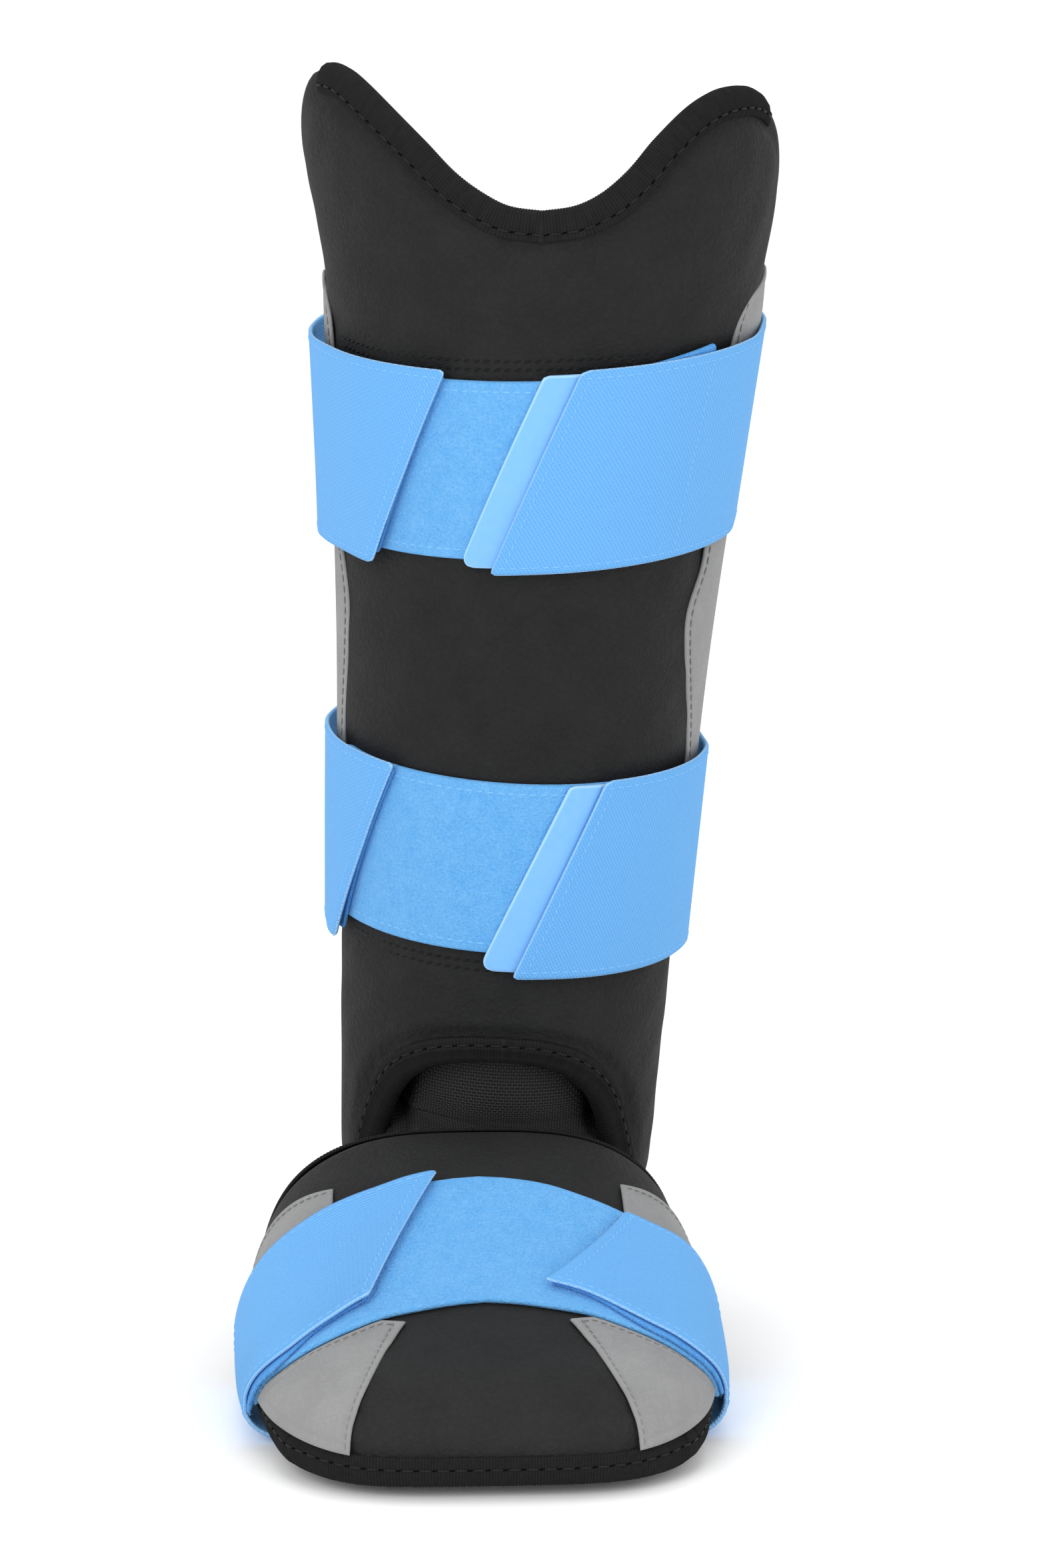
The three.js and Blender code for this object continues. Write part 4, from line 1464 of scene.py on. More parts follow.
@dataclass
class ShinShell:
    """The padded shin shell with its two tapes and its rows of stitches."""

    form: ShinForm
    padding: Padding = Padding(wall=9.0)
    fold: TapeFold = TapeFold(dive=1.0)
    top: ShinEdge = ShinEdge(column(TOP_EDGE, "place", "left"), column(TOP_EDGE, "place", "right"), -1)
    arch: ShinEdge = ShinEdge(column(ARCH_EDGE, "place", "left"), column(ARCH_EDGE, "place", "right"), 1)
    wrap: float = 98.0
    columns: int = 150
    rows: int = 180
    top_reach: Pair = (-72.5, 80.0)
    arch_reach: Pair = (-69.0, 69.0)
    strap_zones: tuple[tuple[Pair, Pair], ...] = (((29, 35), (95, 100)), ((-93, -87), (-30, -25)))
    double_rows: tuple[Pair, ...] = ((95.2, 0.085), (-86.2, 0.0))
    row_gap: float = 2.5
    row_reach: float = 68.0
    row_half: float = 60.0
    seam: Seam = Seam(pitch=3.0, length=2.1, width=0.6, slant=0.3)
    soft: Creases = Creases(0.16, 0.05, 0.1, 1.7, 0.045, 0.03)
    creases: Creases = Creases(0.12, 0.31, -0.24, 2.2, 0.05, 0.06)
    puckers: Creases = Creases(0.14, 1.25, 0.0, 1.1, 0.4, 0.0)

    def spots(self, u: Array, v: Array) -> Places:
        """Spreads a grid over the shell, from the arch to the top.

        Args:
            u: Shares of the way round.
            v: Shares of the way up.

        Returns:
            Angles and heights.
        """
        angle = self.wrap * (2 * u - 1)
        low, high = self.arch.height(angle), self.top.height(angle)
        return angle, part_way(low, high, v)

    def bound(self, angle: Array, z: Array) -> Array:
        """Finds where a tape binds the nearest edge.

        Args:
            angle: Angles round the leg.
            z: Heights.

        Returns:
            1 where a tape binds the edge, and 0 where the leather is turned.
        """
        left, right = self.top_reach
        top = window(angle, (left - 1, left + 11), (right - 11, right + 1))
        arch = 1 - smoothstep(np.abs(angle), self.arch_reach[1] - 12, self.arch_reach[1])
        return np.where(z > 0, top, arch)

    def held(self, angle: Array, z: Array, edge: Array) -> Array:
        """Returns how firmly the skin is held along its border and under the straps, from 0 to 1."""
        zones = [window(z, *zone) for zone in self.strap_zones]
        return np.maximum.reduce([1 - smoothstep(edge, *self.padding.held_rim), *zones])

    def line(self, edge: ShinEdge, reach: Pair) -> EdgeLine:
        """Lays the line that a tape follows.

        Args:
            edge: The shell's edge.
            reach: First and last angle of the tape.

        Returns:
            The line, with the padding on its inner side.
        """
        angle = np.linspace(*reach, 700)
        rim, inside = (angle, edge.height(angle)), edge.inset(self.form, angle, TAPE_INSET)
        return EdgeLine.on(self.form, rim, inside, self.padding.middle, self.fold.step)

    def wrinkles(self, angle: Array, z: Array, edge: Array) -> Array:
        """Finds the leather's soft creases, and the puckers beside the tapes.

        Args:
            angle: Angles round the leg.
            z: Heights.
            edge: Distances from the border.

        Returns:
            Heights over the smooth leather.
        """
        x = np.radians(angle) * self.form.flat_radius
        creases = self.creases.at(x, z) * smoothstep(np.abs(angle), 20, 60)
        pucker = self.puckers.at(x, z) * ridge(edge, 10.5, 2.2)
        return (self.soft.at(x, z) + creases) * smoothstep(edge, 8.0, 16.0) + pucker * self.bound(angle, z)

    def build(self) -> None:
        """Builds the shell, its tapes and its stitches."""
        puff = Puff().run("shin_skin", self.form, self.spots, self.held)
        size = (self.columns, self.rows, -self.padding.wall, 0.0)
        shell = Sheet("shin_shell", self.form, self.spots, *size, crowding=(0.35, 0.35))
        blown = puff(*shell.lines())
        shell.swell = lambda p, q, edge: blown + self.wrinkles(p, q, edge)
        shell.profile = lambda p, q, edge: self.padding.half(edge, self.bound(p, q))
        dress(shell.build(), Slot.LEATHER, LEATHER, LINING, node="shin_shell")
        self.fold.build("shin_top_binding", self.line(self.top, self.top_reach), self.padding)
        self.fold.build("shin_arch_binding", self.line(self.arch, self.arch_reach), self.padding)
        angle = np.linspace(-self.row_reach, self.row_reach, 300)
        across = self.row_half * np.sin(np.radians(angle))
        runs = [
            Run.on(self.form, angle, z + side.value * self.row_gap / 2 + rise * across, THREAD_LIFT)
            for z, rise in self.double_rows
            for side in Side
        ]
        self.seam.sew("shin_shell_stitches", runs, Slot.LEATHER, BLACK_THREAD)


@dataclass
class Panels:
    """Grey leather panels that are sewn on a shell."""

    form: Form
    shell: str
    seam: Seam
    inner: float = 0.1
    outer: float = 1.4
    rounding: float = 1.2

    def sew_on(self, name: str, spots: Spots, size: tuple[int, int], rows: Sequence[Places]) -> None:
        """Builds a panel and its stitches.

        Args:
            name: The node that the panel stands for.
            spots: Places of its grid.
            size: Columns and rows of the grid.
            rows: Places along its rows of stitches.
        """
        panel = Sheet(
            name, self.form, spots, *size, self.inner, self.outer, rounding=self.rounding, swell=pillow,
            held=Held.LAID, rests_on=(self.shell,),
        ).build()
        dress(panel, Slot.GREY_LEATHER, GREY_LEATHER, GREY_LEATHER, node=name)
        runs = [Run.on(self.form, p, q, self.outer) for p, q in rows]
        self.seam.sew(f"{name}_stitches", runs, Slot.GREY_LEATHER, GREY_THREAD)


SHIN_PANEL_FRONT = tuple(starmap(EdgePoint, (
    (-52, 76, 72), (-26, 74, 69), (8, 69, 58), (18, 70, 57), (33, 76, 62.5), (86, 76, 60), (104, 79, 62),
    (114, 83, 68),
)))


@dataclass
class ShinPanels(Panels):
    """The grey leather panels along the sides of the shin."""

    shell: str = "shin_shell"
    seam: Seam = Seam(pitch=3.2, length=2.5, width=0.55)
    front: tuple[EdgePoint, ...] = SHIN_PANEL_FRONT
    back: float = 93.0
    tops: tuple[tuple[Side, float], ...] = ((Side.LEFT, 103.0), (Side.RIGHT, 111.0))
    top_rise: float = 3.0
    corner: float = 9.0
    stitch_inset: float = 3.0

    def spots(self, side: Side, high: float, u: Array, v: Array) -> Places:
        """Spreads a grid over a panel.

        Args:
            side: The panel's side.
            high: Height of its top.
            u: Places along the rows, from left to right.
            v: Places up the panel.

        Returns:
            Angles and heights.
        """
        low, edge = self.front[0].place, column(self.front, "place", side.label)
        backwards = u if side is Side.RIGHT else 1 - u
        z = part_way(low, high, v)
        drawn = self.corner * (1 - quarter_round((high - z) / self.corner))
        start = edge.at(z) + drawn * self.form.degrees_per_mm(70, 80)
        return side.value * part_way(start, self.back, backwards), z + v * backwards * self.top_rise

    def build(self) -> None:
        """Builds both panels and their stitches."""
        for side, high in self.tops:
            z = np.linspace(self.front[0].place + self.stitch_inset, high - self.stitch_inset, 200)
            inset = self.stitch_inset * self.form.degrees_per_mm(70, 30)
            angle = side.value * (column(self.front, "place", side.label).at(z) + inset)
            name = f"shin_side_panel_{side.label}"
            self.sew_on(name, partial(self.spots, side, high), (40, 120), [(angle, z)])


class SlantedEnd(NamedTuple):
    """A slanted strap end: its angle at mid width, and how much the angle changes from bottom to top."""

    angle: float
    slant: float

    def at(self, share: Array) -> Array:
        """Returns the angle at a share of the width, from 0 at the bottom to 1 at the top."""
        return self.angle + self.slant * (share - 0.5)

    def moved(self, angle: float) -> "SlantedEnd":
        """Returns the same end, further round the leg."""
        return SlantedEnd(self.angle + angle, self.slant)


class Strip(NamedTuple):
    """A strip of a strap: its ends, width, the heights of its two ends, and its corners below and above."""

    left: SlantedEnd
    right: SlantedEnd
    width: float
    lifts: Pair
    radii: Pair


@dataclass(frozen=True)
class StrapForm(Form):
    """The shin's face along a strap: p is the angle, and q the height over the strap's middle line."""

    shin: ShinForm
    centre: float
    rise: float

    def base(self, p: Array, q: Array) -> Array:
        """Returns the shin's points along the strap."""
        across = self.shin.half.at(np.float64(self.centre)) * np.sin(np.radians(p))
        return self.shin.base(p, self.centre + q + self.rise * across)

    def flat(self, p: Array, q: Array) -> Array:
        """Returns the places on the strap when it is laid flat."""
        return self.shin.flat(p, q)


class Settle(NamedTuple):
    """How a band settles on the shell at the sides: from and to angles, and its offsets there."""

    start: float
    end: float
    left: float
    right: float


def band_angles(ends: tuple[SlantedEnd, SlantedEnd], fade: float, drawn: Array, u: Array, v: Array) -> Array:
    """Spreads a band's grid lines between two slanted ends, and upright away from them.

    Args:
        ends: First and last end.
        fade: Angle over which the slant fades.
        drawn: How far the corners draw the ends back.
        u: Places along the band.
        v: Places across it.

    Returns:
        The angles.
    """
    first, last = ends
    middle = part_way(first.angle, last.angle, u)
    keep_first = 1 - smoothstep(middle - first.angle, 0, fade)
    keep_last = 1 - smoothstep(last.angle - middle, 0, fade)
    angle = middle + keep_first * (first.slant * (v - 0.5) + drawn)
    return angle + keep_last * (last.slant * (v - 0.5) - drawn)


class Layer(NamedTuple):
    """A layer of a strap: its inner and outer offset, its slot and its finish."""

    inner: float
    outer: float
    slot: Slot
    finish: Finish


LOOP_LAYER = Layer(0.2, 2.0, Slot.LOOP, LOOP)
HOOK_LAYER = Layer(2.1, 3.3, Slot.HOOK, HOOK)
TAB_LAYER = Layer(2.1, 3.3, Slot.PULL_TAB, PULL)
BAND_LAYER = Layer(3.5, 5.0, Slot.ELASTIC, ELASTIC)
LOOP_CORNERS = (5.0, 5.0)
STRIP_ROWS = 44
BAND_ROWS = 36
EDGE_SEAM = Seam(pitch=3.1, length=2.3, width=0.5)
END_SEAM = Seam(pitch=2.2, length=1.7, width=0.5, slant=0.5)


@dataclass
class ShinStrap:
    """An elastic strap round the shin with its loop panel, hook pads and rubber pull tab."""

    name: str
    shin: ShinForm
    centre: float
    rise: float
    loop: Strip
    left_end: SlantedEnd
    right_end: SlantedEnd
    hook_far: Pair
    settle: Settle
    curl: Pair = (1.2, 0.5)
    right_hook_lift: float = 0.0
    cross_seam: SlantedEnd | None = None
    width: float = 60.0
    wrap: float = 98.0
    slant_fade: float = 60.0
    corner: float = 1.6
    hook_width: float = 56.0
    hook_setback: float = 0.9
    tab_shown: float = 9.5
    tab_tucked: float = 6.0
    tab_width: float = 57.0
    tab_corner: float = 4.5
    tab_top_corner: float = 1.2
    edge_inset: float = 2.3
    end_inset: float = 3.0
    hook_corner: float = 1.6
    hook_gap: float = 0.5

    def __post_init__(self) -> None:
        """Works out the strap's own form and scale."""
        self.form = StrapForm(self.shin, self.centre, self.rise)
        self.per_mm = self.shin.degrees_per_mm(0, self.centre)
        self.band_ends = (self.right_end, self.left_end.moved(360))

    def node(self, part: str) -> str:
        """Returns the name of one of the strap's nodes."""
        return f"{self.name}_strap_{part}"

    def cut(self, v: Array, width: float, radii: Pair) -> Array:
        """Returns how far rounded corners at the bottom and top draw an end back, in degrees."""
        gaps = zip(radii, (v * width, (1 - v) * width))
        return sum(radius * (1 - quarter_round(gap / radius)) for radius, gap in gaps) * self.per_mm

    def strip_spots(self, strip: Strip, u: Array, v: Array) -> Places:
        """Spreads a grid over a strip.

        Args:
            strip: The strip.
            u: Places along it.
            v: Places across it.

        Returns:
            Angles and heights over the strap's middle line.
        """
        drawn = self.cut(v, strip.width, strip.radii)
        angle = part_way(strip.left.at(v) + drawn, strip.right.at(v) - drawn, u)
        return angle, part_way(*strip.lifts, u) + (v - 0.5) * strip.width

    def band_spots(self, u: Array, v: Array) -> Places:
        """Spreads a grid over the band, from its right end round the back to its left end."""
        drawn = self.cut(v, self.width, (self.corner, self.corner))
        return band_angles(self.band_ends, self.slant_fade, drawn, u, v), (v - 0.5) * self.width

    def band_lift(self, p: Array, q: Array, edge: Array) -> Array:
        """Settles the band on the sides and curls its ends up a little.

        Args:
            p: Angles round the leg, which go on past 180.
            q: Heights over the middle line.
            edge: Distances from the border.

        Returns:
            How far the band stands off its layer.
        """
        settle = self.settle
        from_front = np.minimum(np.abs(p), np.abs(360 - p))
        across = smoothstep(p, self.wrap, 360 - self.wrap)
        settled = part_way(settle.right, settle.left, across)
        sink = (BAND_LAYER.inner - settled) * smoothstep(from_front, settle.start, settle.end)
        share = q / self.width + 0.5
        left_gap = (self.band_ends[1].at(share) - p) / self.per_mm
        right_gap = (p - self.right_end.at(share)) / self.per_mm
        low = 1 - smoothstep(share, 0.0, 0.6)
        lifted = self.curl[0] * (1 - smoothstep(left_gap, 0, 16)) * (0.25 + low)
        return lifted + self.curl[1] * (1 - smoothstep(right_gap, 0, 12)) * (0.3 + 0.7 * low) - sink

    def build(self) -> None:
        """Builds the strap's pieces and stitches."""
        hook_width, level = self.hook_width, (0.0, 0.0)
        hook_lifts, hook_radii = (0.0, self.right_hook_lift), (self.hook_corner, self.hook_corner)
        hook_left = self.left_end.moved(-self.hook_setback * self.per_mm)
        tab_left = self.right_end.moved(-self.tab_shown * self.per_mm)
        tab_right = self.right_end.moved(self.tab_tucked * self.per_mm)
        far_left, far_right = (SlantedEnd(angle, 0) for angle in self.hook_far)
        tab_radii = (self.tab_corner, self.tab_top_corner)
        strips = (
            ("loop_panel", LOOP_LAYER, 90, self.loop),
            ("hook_left", HOOK_LAYER, 50, Strip(far_left, hook_left, hook_width, level, hook_radii)),
            ("hook_right", HOOK_LAYER, 50,
             Strip(tab_right.moved(self.hook_gap), far_right, hook_width, hook_lifts, hook_radii)),
            ("pull_tab", TAB_LAYER, 24, Strip(tab_left, tab_right, self.tab_width, level, tab_radii)),
        )
        for part, layer, columns, strip in strips:
            sheet = Sheet(
                self.node(part), self.form, partial(self.strip_spots, strip), columns, STRIP_ROWS,
                layer.inner, layer.outer, rounding=0.7,
                held=Held.NOT_A_SHEET if layer is TAB_LAYER else Held.LAID,
                rests_on=("shin_shell" if layer is LOOP_LAYER else self.node("loop_panel"),),
            )
            dress(sheet.build(), layer.slot, layer.finish, layer.finish, node=self.node(part))
        band = Sheet(
            self.node("band"), self.form, self.band_spots, 230, BAND_ROWS, BAND_LAYER.inner,
            BAND_LAYER.outer, rounding=0.75, lift=self.band_lift, held=Held.STRETCHED,
            rests_on=("shin_shell", self.node("loop_panel")),
        )
        dress(band.build(), Slot.ELASTIC, ELASTIC, ELASTIC, node=self.node("band"))
        self.stitch()

    def stitch(self) -> None:
        """Sews the edges and ends of the band, and the border of the loop panel."""
        u = np.linspace(0.004, 0.996, 900)
        inset = self.edge_inset / self.width
        runs = [self.band_run(u, np.full_like(u, share)) for share in (inset, 1 - inset)]
        EDGE_SEAM.sew(self.node("edge_stitches"), runs, Slot.ELASTIC, BLUE_THREAD)
        v = np.linspace(0.06, 0.94, 120)
        length = (360 + self.left_end.angle - self.right_end.angle) / self.per_mm
        from_end = self.end_inset / length
        ends = [self.band_run(np.full_like(v, place), v) for place in (from_end, 1 - from_end)]
        if self.cross_seam:
            angle, q = self.cross_seam.at(v), (v - 0.5) * self.width
            ends.append(self.laid_run(angle, q))
        END_SEAM.sew(self.node("end_stitches"), ends, Slot.ELASTIC, BLUE_THREAD)
        angle = np.linspace(self.left_end.angle - 10, self.right_end.angle + 10, 200)
        lift, half = self.loop.lifts[0], self.loop.width / 2 - self.end_inset
        rows = [Run.on(self.form, angle, q, LOOP_LAYER.outer - 0.1) for q in (lift - half, lift + half)]
        EDGE_SEAM.sew(self.node("loop_stitches"), rows, Slot.LOOP, BLUE_THREAD)

    def band_run(self, u: Array, v: Array) -> Run:
        """Lays a row of stitches through grid places of the band."""
        return self.laid_run(*self.band_spots(u, v))

    def laid_run(self, p: Array, q: Array) -> Run:
        """Lays a row of stitches on the band's outer face."""
        return Run.on(self.form, p, q, BAND_LAYER.outer + self.band_lift(p, q, q))


@dataclass
class FootShell:
    """The padded foot shell with the tape round its whole edge."""

    form: FootForm
    padding: Padding = Padding(wall=8.0)
    fold: TapeFold = TapeFold(width=8.2, rib_pitch=0.9, stitch_inset=4.6)
    length: float = 161.0
    back_rounding: float = 22.0
    back_power: float = 8.0
    toe_height: float = 4.3
    corner_heights: Pair = (5.6, 5.2)
    side_limits: tuple[Pair, ...] = ((0.962, 0.984), (0.978, 0.986))
    columns: int = 150
    rows: int = 130
    strap_zone: tuple[Pair, Pair] = ((46, 54), (116, 124))
    half_width: float = 80.0
    soft: Creases = Creases(0.16, 0.06, 0.09, 1.6, 0.07, -0.03)
    ripples: Creases = Creases(0.2, 1.05, 0.0, 1.3, 0.31, 0.0)

    def spots(self, u: Array, v: Array) -> Places:
        """Spreads a grid over the shell, from the toe's border to the back's.

        Args:
            u: Places across, from left to right.
            v: Places from the toe to the back.

        Returns:
            Coordinates of the foot's form.
        """
        left, right = (part_way(*limits, v) for limits in self.side_limits)
        across = self.form.spread(2 * u - 1) * np.where(u < 0.5, left, right)
        corner = np.where(u < 0.5, *self.corner_heights)
        height = part_way(self.toe_height, corner, smoothstep(np.abs(across), 0.3, 0.9))
        end = self.length - self.back_rounding * np.abs(across) ** self.back_power
        return across, part_way(self.form.path_at(across, height), end, v)

    def held(self, across: Array, path: Array, edge: Array) -> Array:
        """Returns how firmly the skin is held along its border and under the strap, from 0 to 1."""
        rim = 1 - smoothstep(edge, *self.padding.held_rim)
        return np.maximum(rim, window(path, *self.strap_zone))

    def line(self) -> EdgeLine:
        """Lays the line round the whole edge, from the middle of the back.

        Returns:
            The line, with the padding on its inner side.
        """
        half, side, toe = np.linspace(0.5, 1, 200), np.linspace(1, 0, 300), np.linspace(1, 0, 700)
        u = np.concatenate((half, np.ones(298), toe, np.zeros(298), 1 - half[::-1]))
        v = np.concatenate((np.ones(200), side[1:-1], np.zeros(700), side[-2:0:-1], np.ones(200)))
        across, path = self.spots(u, v)
        forward = unit(self.form.base(across, path - 0.5) - self.form.base(across, path))
        behind = np.where(v == 1, 1 - smoothstep(np.abs(across), 0.7, 0.96), 0.0)[:, None]
        heading = forward * behind + np.array((0.0, 0.0, 1.0)) * (1 - behind)
        inside = self.form.walk(across, path, heading, TAPE_INSET)
        return EdgeLine.on(self.form, (across, path), inside, self.padding.middle, self.fold.step)

    def wrinkles(self, across: Array, path: Array) -> Array:
        """Finds the leather's wrinkles: a fold over the toe, and short ripples below it.

        Args:
            across: Places across the foot.
            path: Places along the crown.

        Returns:
            Heights over the smooth leather.
        """
        x = across * self.half_width
        ripple = self.ripples.at(x, path) * ridge(path, 14.0, 5.0)
        fold = 0.35 * ridge(path - 23.5, 0.8 * np.sin(0.17 * x), 1.7)
        return ripple - fold + self.soft.at(x, path)

    def build(self) -> None:
        """Builds the shell and its tape."""
        puff = Puff(rows=60).run("foot_skin", self.form, self.spots, self.held)
        size = (self.columns, self.rows, -self.padding.wall, 0.0)
        shell = Sheet("foot_shell", self.form, self.spots, *size, crowding=(0.7, 0.4))
        blown = puff(*shell.lines())
        shell.swell = lambda p, q, edge: blown + self.wrinkles(p, q)
        shell.profile = lambda p, q, edge: self.padding.half(edge, np.ones_like(edge))
        dress(shell.build(), Slot.LEATHER, FOOT_LEATHER, LINING, node="foot_shell")
        self.fold.build("foot_edge_binding", self.line(), self.padding)


class StrapEdge(NamedTuple):
    """Front and rear edge of the foot strap along the crown, at an angle from the crown."""

    angle: float
    front: float
    rear: float


FOOT_LOOP = tuple(starmap(StrapEdge, (
    (0, 71.4, 123), (9, 67.6, 120.2), (17, 64.7, 117), (27, 59.5, 114), (40, 53.8, 111), (57, 47.5, 109),
    (75, 45.5, 107.5), (90, 45, 107),
)))
LOOP_FRONT = column(FOOT_LOOP, "angle", "front")
LOOP_REAR = column(FOOT_LOOP, "angle", "rear")


@dataclass
class FootPanels(Panels):
    """The grey leather panels in front of and behind the foot strap."""

    shell: str = "foot_shell"
    seam: Seam = Seam(pitch=2.7, length=2.0, width=0.42, slant=0.1)
    front: Curve = Curve(((9.8, 34.3), (20, 30.5), (24, 28.5), (50, 16.3), (62, 11.9)))
    rear: Curve = Curve(((30, 126.5), (45, 131), (60, 133.5), (84, 134)))
    side: float = 84.0
    front_side: float = 79.0
    tape_tops: Pair = (12.2, 13.8)
    gap: float = 0.6
    corner_slope: float = 0.3

    def front_spots(self, u: Array, v: Array) -> Places:
        """Spreads a grid over a front panel.

        Args:
            u: Shares of the way out from the inner edge.
            v: Shares of the way back from the toe.

        Returns:
            Angles and paths.
        """
        start, corner = self.front.rows[0][0], self.front.rows[-1][0]
        angle = part_way(self.front.at(part_way(start, corner, v)), self.front_side, u)
        slanted = corner + self.corner_slope * (angle - self.front.rows[-1][1])
        back = np.minimum(LOOP_FRONT.at(angle) - self.gap, slanted)
        height = part_way(*self.tape_tops, smoothstep(angle, 27.0, 75.0))
        toe = np.minimum(self.form.path_at(angle / 90, height), back - 0.5)
        return angle, part_way(toe, back, v)

    def rear_spots(self, u: Array, v: Array) -> Places:
        """Spreads a grid over a rear panel: angles from its inner edge outwards, and paths."""
        angle = part_way(self.rear.rows[0][0], self.side, u)
        return angle, part_way(LOOP_REAR.at(angle) + self.gap, self.rear.at(angle), v)

    def build(self) -> None:
        """Builds the four panels and their stitches."""
        along = np.linspace(0.03, 0.97, 200)
        parts = (
            ("front", self.front_spots, (70, 70), ((0.034, along), (along, 0.955))),
            ("rear", self.rear_spots, (70, 30), ((along, 0.86),)),
        )
        for side in Side:
            for part, outwards, size, rows in parts:
                places = [outwards(*np.broadcast_arrays(u, v)) for u, v in rows]
                lines = [(side.value * angle / 90, path) for angle, path in places]
                name = f"foot_{part}_panel_{side.label}"
                self.sew_on(name, partial(self.turned, side, outwards), size, lines)

    def turned(self, side: Side, outwards: Spots, u: Array, v: Array) -> Places:
        """Spreads a grid over a panel on its side of the foot."""
        angle, path = outwards(u if side is Side.RIGHT else 1 - u, v)
        return side.value * angle / 90, path


@dataclass(frozen=True)
class FootStripForm(Form):
    """The foot's face along its strap: p is the angle from the crown, and q goes from front to rear."""

    foot: FootForm
    steps: Pair = (0.1, 0.004)
    shift: float = 0.0
    skew: float = 0.0
    rear_skews: Pair = (0.0, 0.0)
    skew_reach: float = 30.0
    mm_per_degree: float = 1.05
    width: float = 54.0
    ends: tuple[Pair, ...] = ((7.0, 28.5), (20.0, 4.0))

    def from_end(self, p: Array, q: Array) -> Array:
        """Returns the angles between places and the end of the tab on their side."""
        right, left = (part_way(*end, q) for end in self.ends)
        return np.abs(p) - np.where(p > 0, right, left)

    def path(self, p: Array, q: Array) -> Array:
        """Finds the places along the crown, with a tab's corners drawn in near its end.

        Args:
            p: Angles from the crown, negative on the left.
            q: Places from front to rear.

        Returns:
            The places along the crown.
        """
        front, rear = LOOP_FRONT.at(np.abs(p)), LOOP_REAR.at(np.abs(p))
        near = 1 - smoothstep(self.from_end(p, q), 0.0, self.skew_reach)
        drawn = near * (self.skew * (1 - q) - np.where(p > 0, *self.rear_skews) * q)
        return part_way(front, rear, q) + self.shift + drawn

    def base(self, p: Array, q: Array) -> Array:
        """Returns the foot's points along the strap."""
        return self.foot.base(p / 90, self.path(p, q))

    def flat(self, p: Array, q: Array) -> Array:
        """Returns the places on the strap when it is laid flat."""
        return stacked(p * self.mm_per_degree, q * self.width)


@dataclass(frozen=True)
class FootBandForm(FootStripForm):
    """The middle of the foot band: over the foot, down its sides and flat under the sole.

    p is the angle on the right, goes on past turn under the sole, and counts back up on the left.
    """

    shift: float = 2.5
    skew: float = 6.0
    rear_skews: Pair = (5.0, 1.5)
    turn: float = 86.0
    sole_run: float = 80.0
    offset: float = 4.25
    settle: Pair = (78.0, 86.0)
    sink: float = 0.6
    sole_height: float = 0.75
    bend: float = 20.0
    fall: Curve = Curve(
        ((0, 1), (2, 0.78), (4, 0.56), (6, 0.37), (8, 0.22), (10, 0.11), (13, 0.03), (16, 0), (20, 0))
    )
    inset: Curve = Curve(
        ((0, 0), (2, 0.6), (4, 1.5), (6, 2.8), (8, 4.4), (10, 6.1), (13, 6.8), (16, 7), (20, 7.1))
    )
    tucks: Pair = (1.0, 1.5)
    curls: Pair = (0.9, 0.4)

    @property
    def middle(self) -> float:
        """The coordinate p under the middle of the sole."""
        return self.turn + self.sole_run

    def side(self, p: Array) -> Places:
        """Splits p into the side of the foot and the angle on that side."""
        right = p <= self.middle
        return np.where(right, 1.0, -1.0), np.where(right, p, 2 * self.middle - p)

    def stand(self, sign: Array, angle: Array, q: Array) -> Array:
        """Finds how far the band's middle stands off the foot.

        Args:
            sign: Side of the foot.
            angle: Angles on that side.
            q: Places from front to rear.

        Returns:
            The offsets.
        """
        from_end = self.from_end(sign * angle, q) * self.mm_per_degree
        curl = np.where(sign > 0, self.curls[1], self.curls[0]) * (1 - smoothstep(from_end, 0, 14))
        return self.offset + curl * (1.0 - 0.5 * q) - self.sink * smoothstep(angle, *self.settle)

    def base(self, p: Array, q: Array) -> Array:
        """Leads the band's middle over the foot, down its sides and under the sole.

        Args:
            p: Angles.
            q: Shares across.

        Returns:
            The points of the middle.
        """
        p, q = np.broadcast_arrays(p, q)
        sign, angle = self.side(p)
        held = np.minimum(angle, self.turn)
        point = self.foot.point(sign * held / 90, self.path(sign * held, q), self.stand(sign, held, q))
        beyond = np.maximum(angle - self.turn, 0.0)
        cosine, sine = math.cos(self.foot.yaw), math.sin(self.foot.yaw)
        across = (point[..., 0] - self.foot.shift) * cosine + point[..., 1] * sine
        half_bend = self.bend / 2
        share = 1 - np.clip((beyond - half_bend) / (self.sole_run - half_bend), 0.0, 1.0)
        bent = np.minimum(beyond, self.bend)
        inset = self.inset.at(bent) * np.where(sign > 0, *self.tucks)
        moved = sign * (np.abs(across) - inset) * share - across
        flat = np.clip(self.fall.at(bent), 0.0, 1.0)
        z = part_way(self.foot.sole + self.sole_height, point[..., 2], flat)
        return stacked(point[..., 0] + moved * cosine, point[..., 1] + moved * sine, z)


class Flare(NamedTuple):
    """How far a strip stands out in front, as a share of its width, and between which angles it grows."""

    share: float
    start: float
    full: float

    def at(self, angle: Array) -> Array:
        """Returns the shares at angles from the crown."""
        return self.share * smoothstep(np.abs(angle), self.start, self.full)


class FootStrip(NamedTuple):
    """A strip of the foot strap: angles of its ends in front and behind, its margin, corners and flare."""

    left: Pair
    right: Pair
    margin: float
    corner: float
    flare: Flare


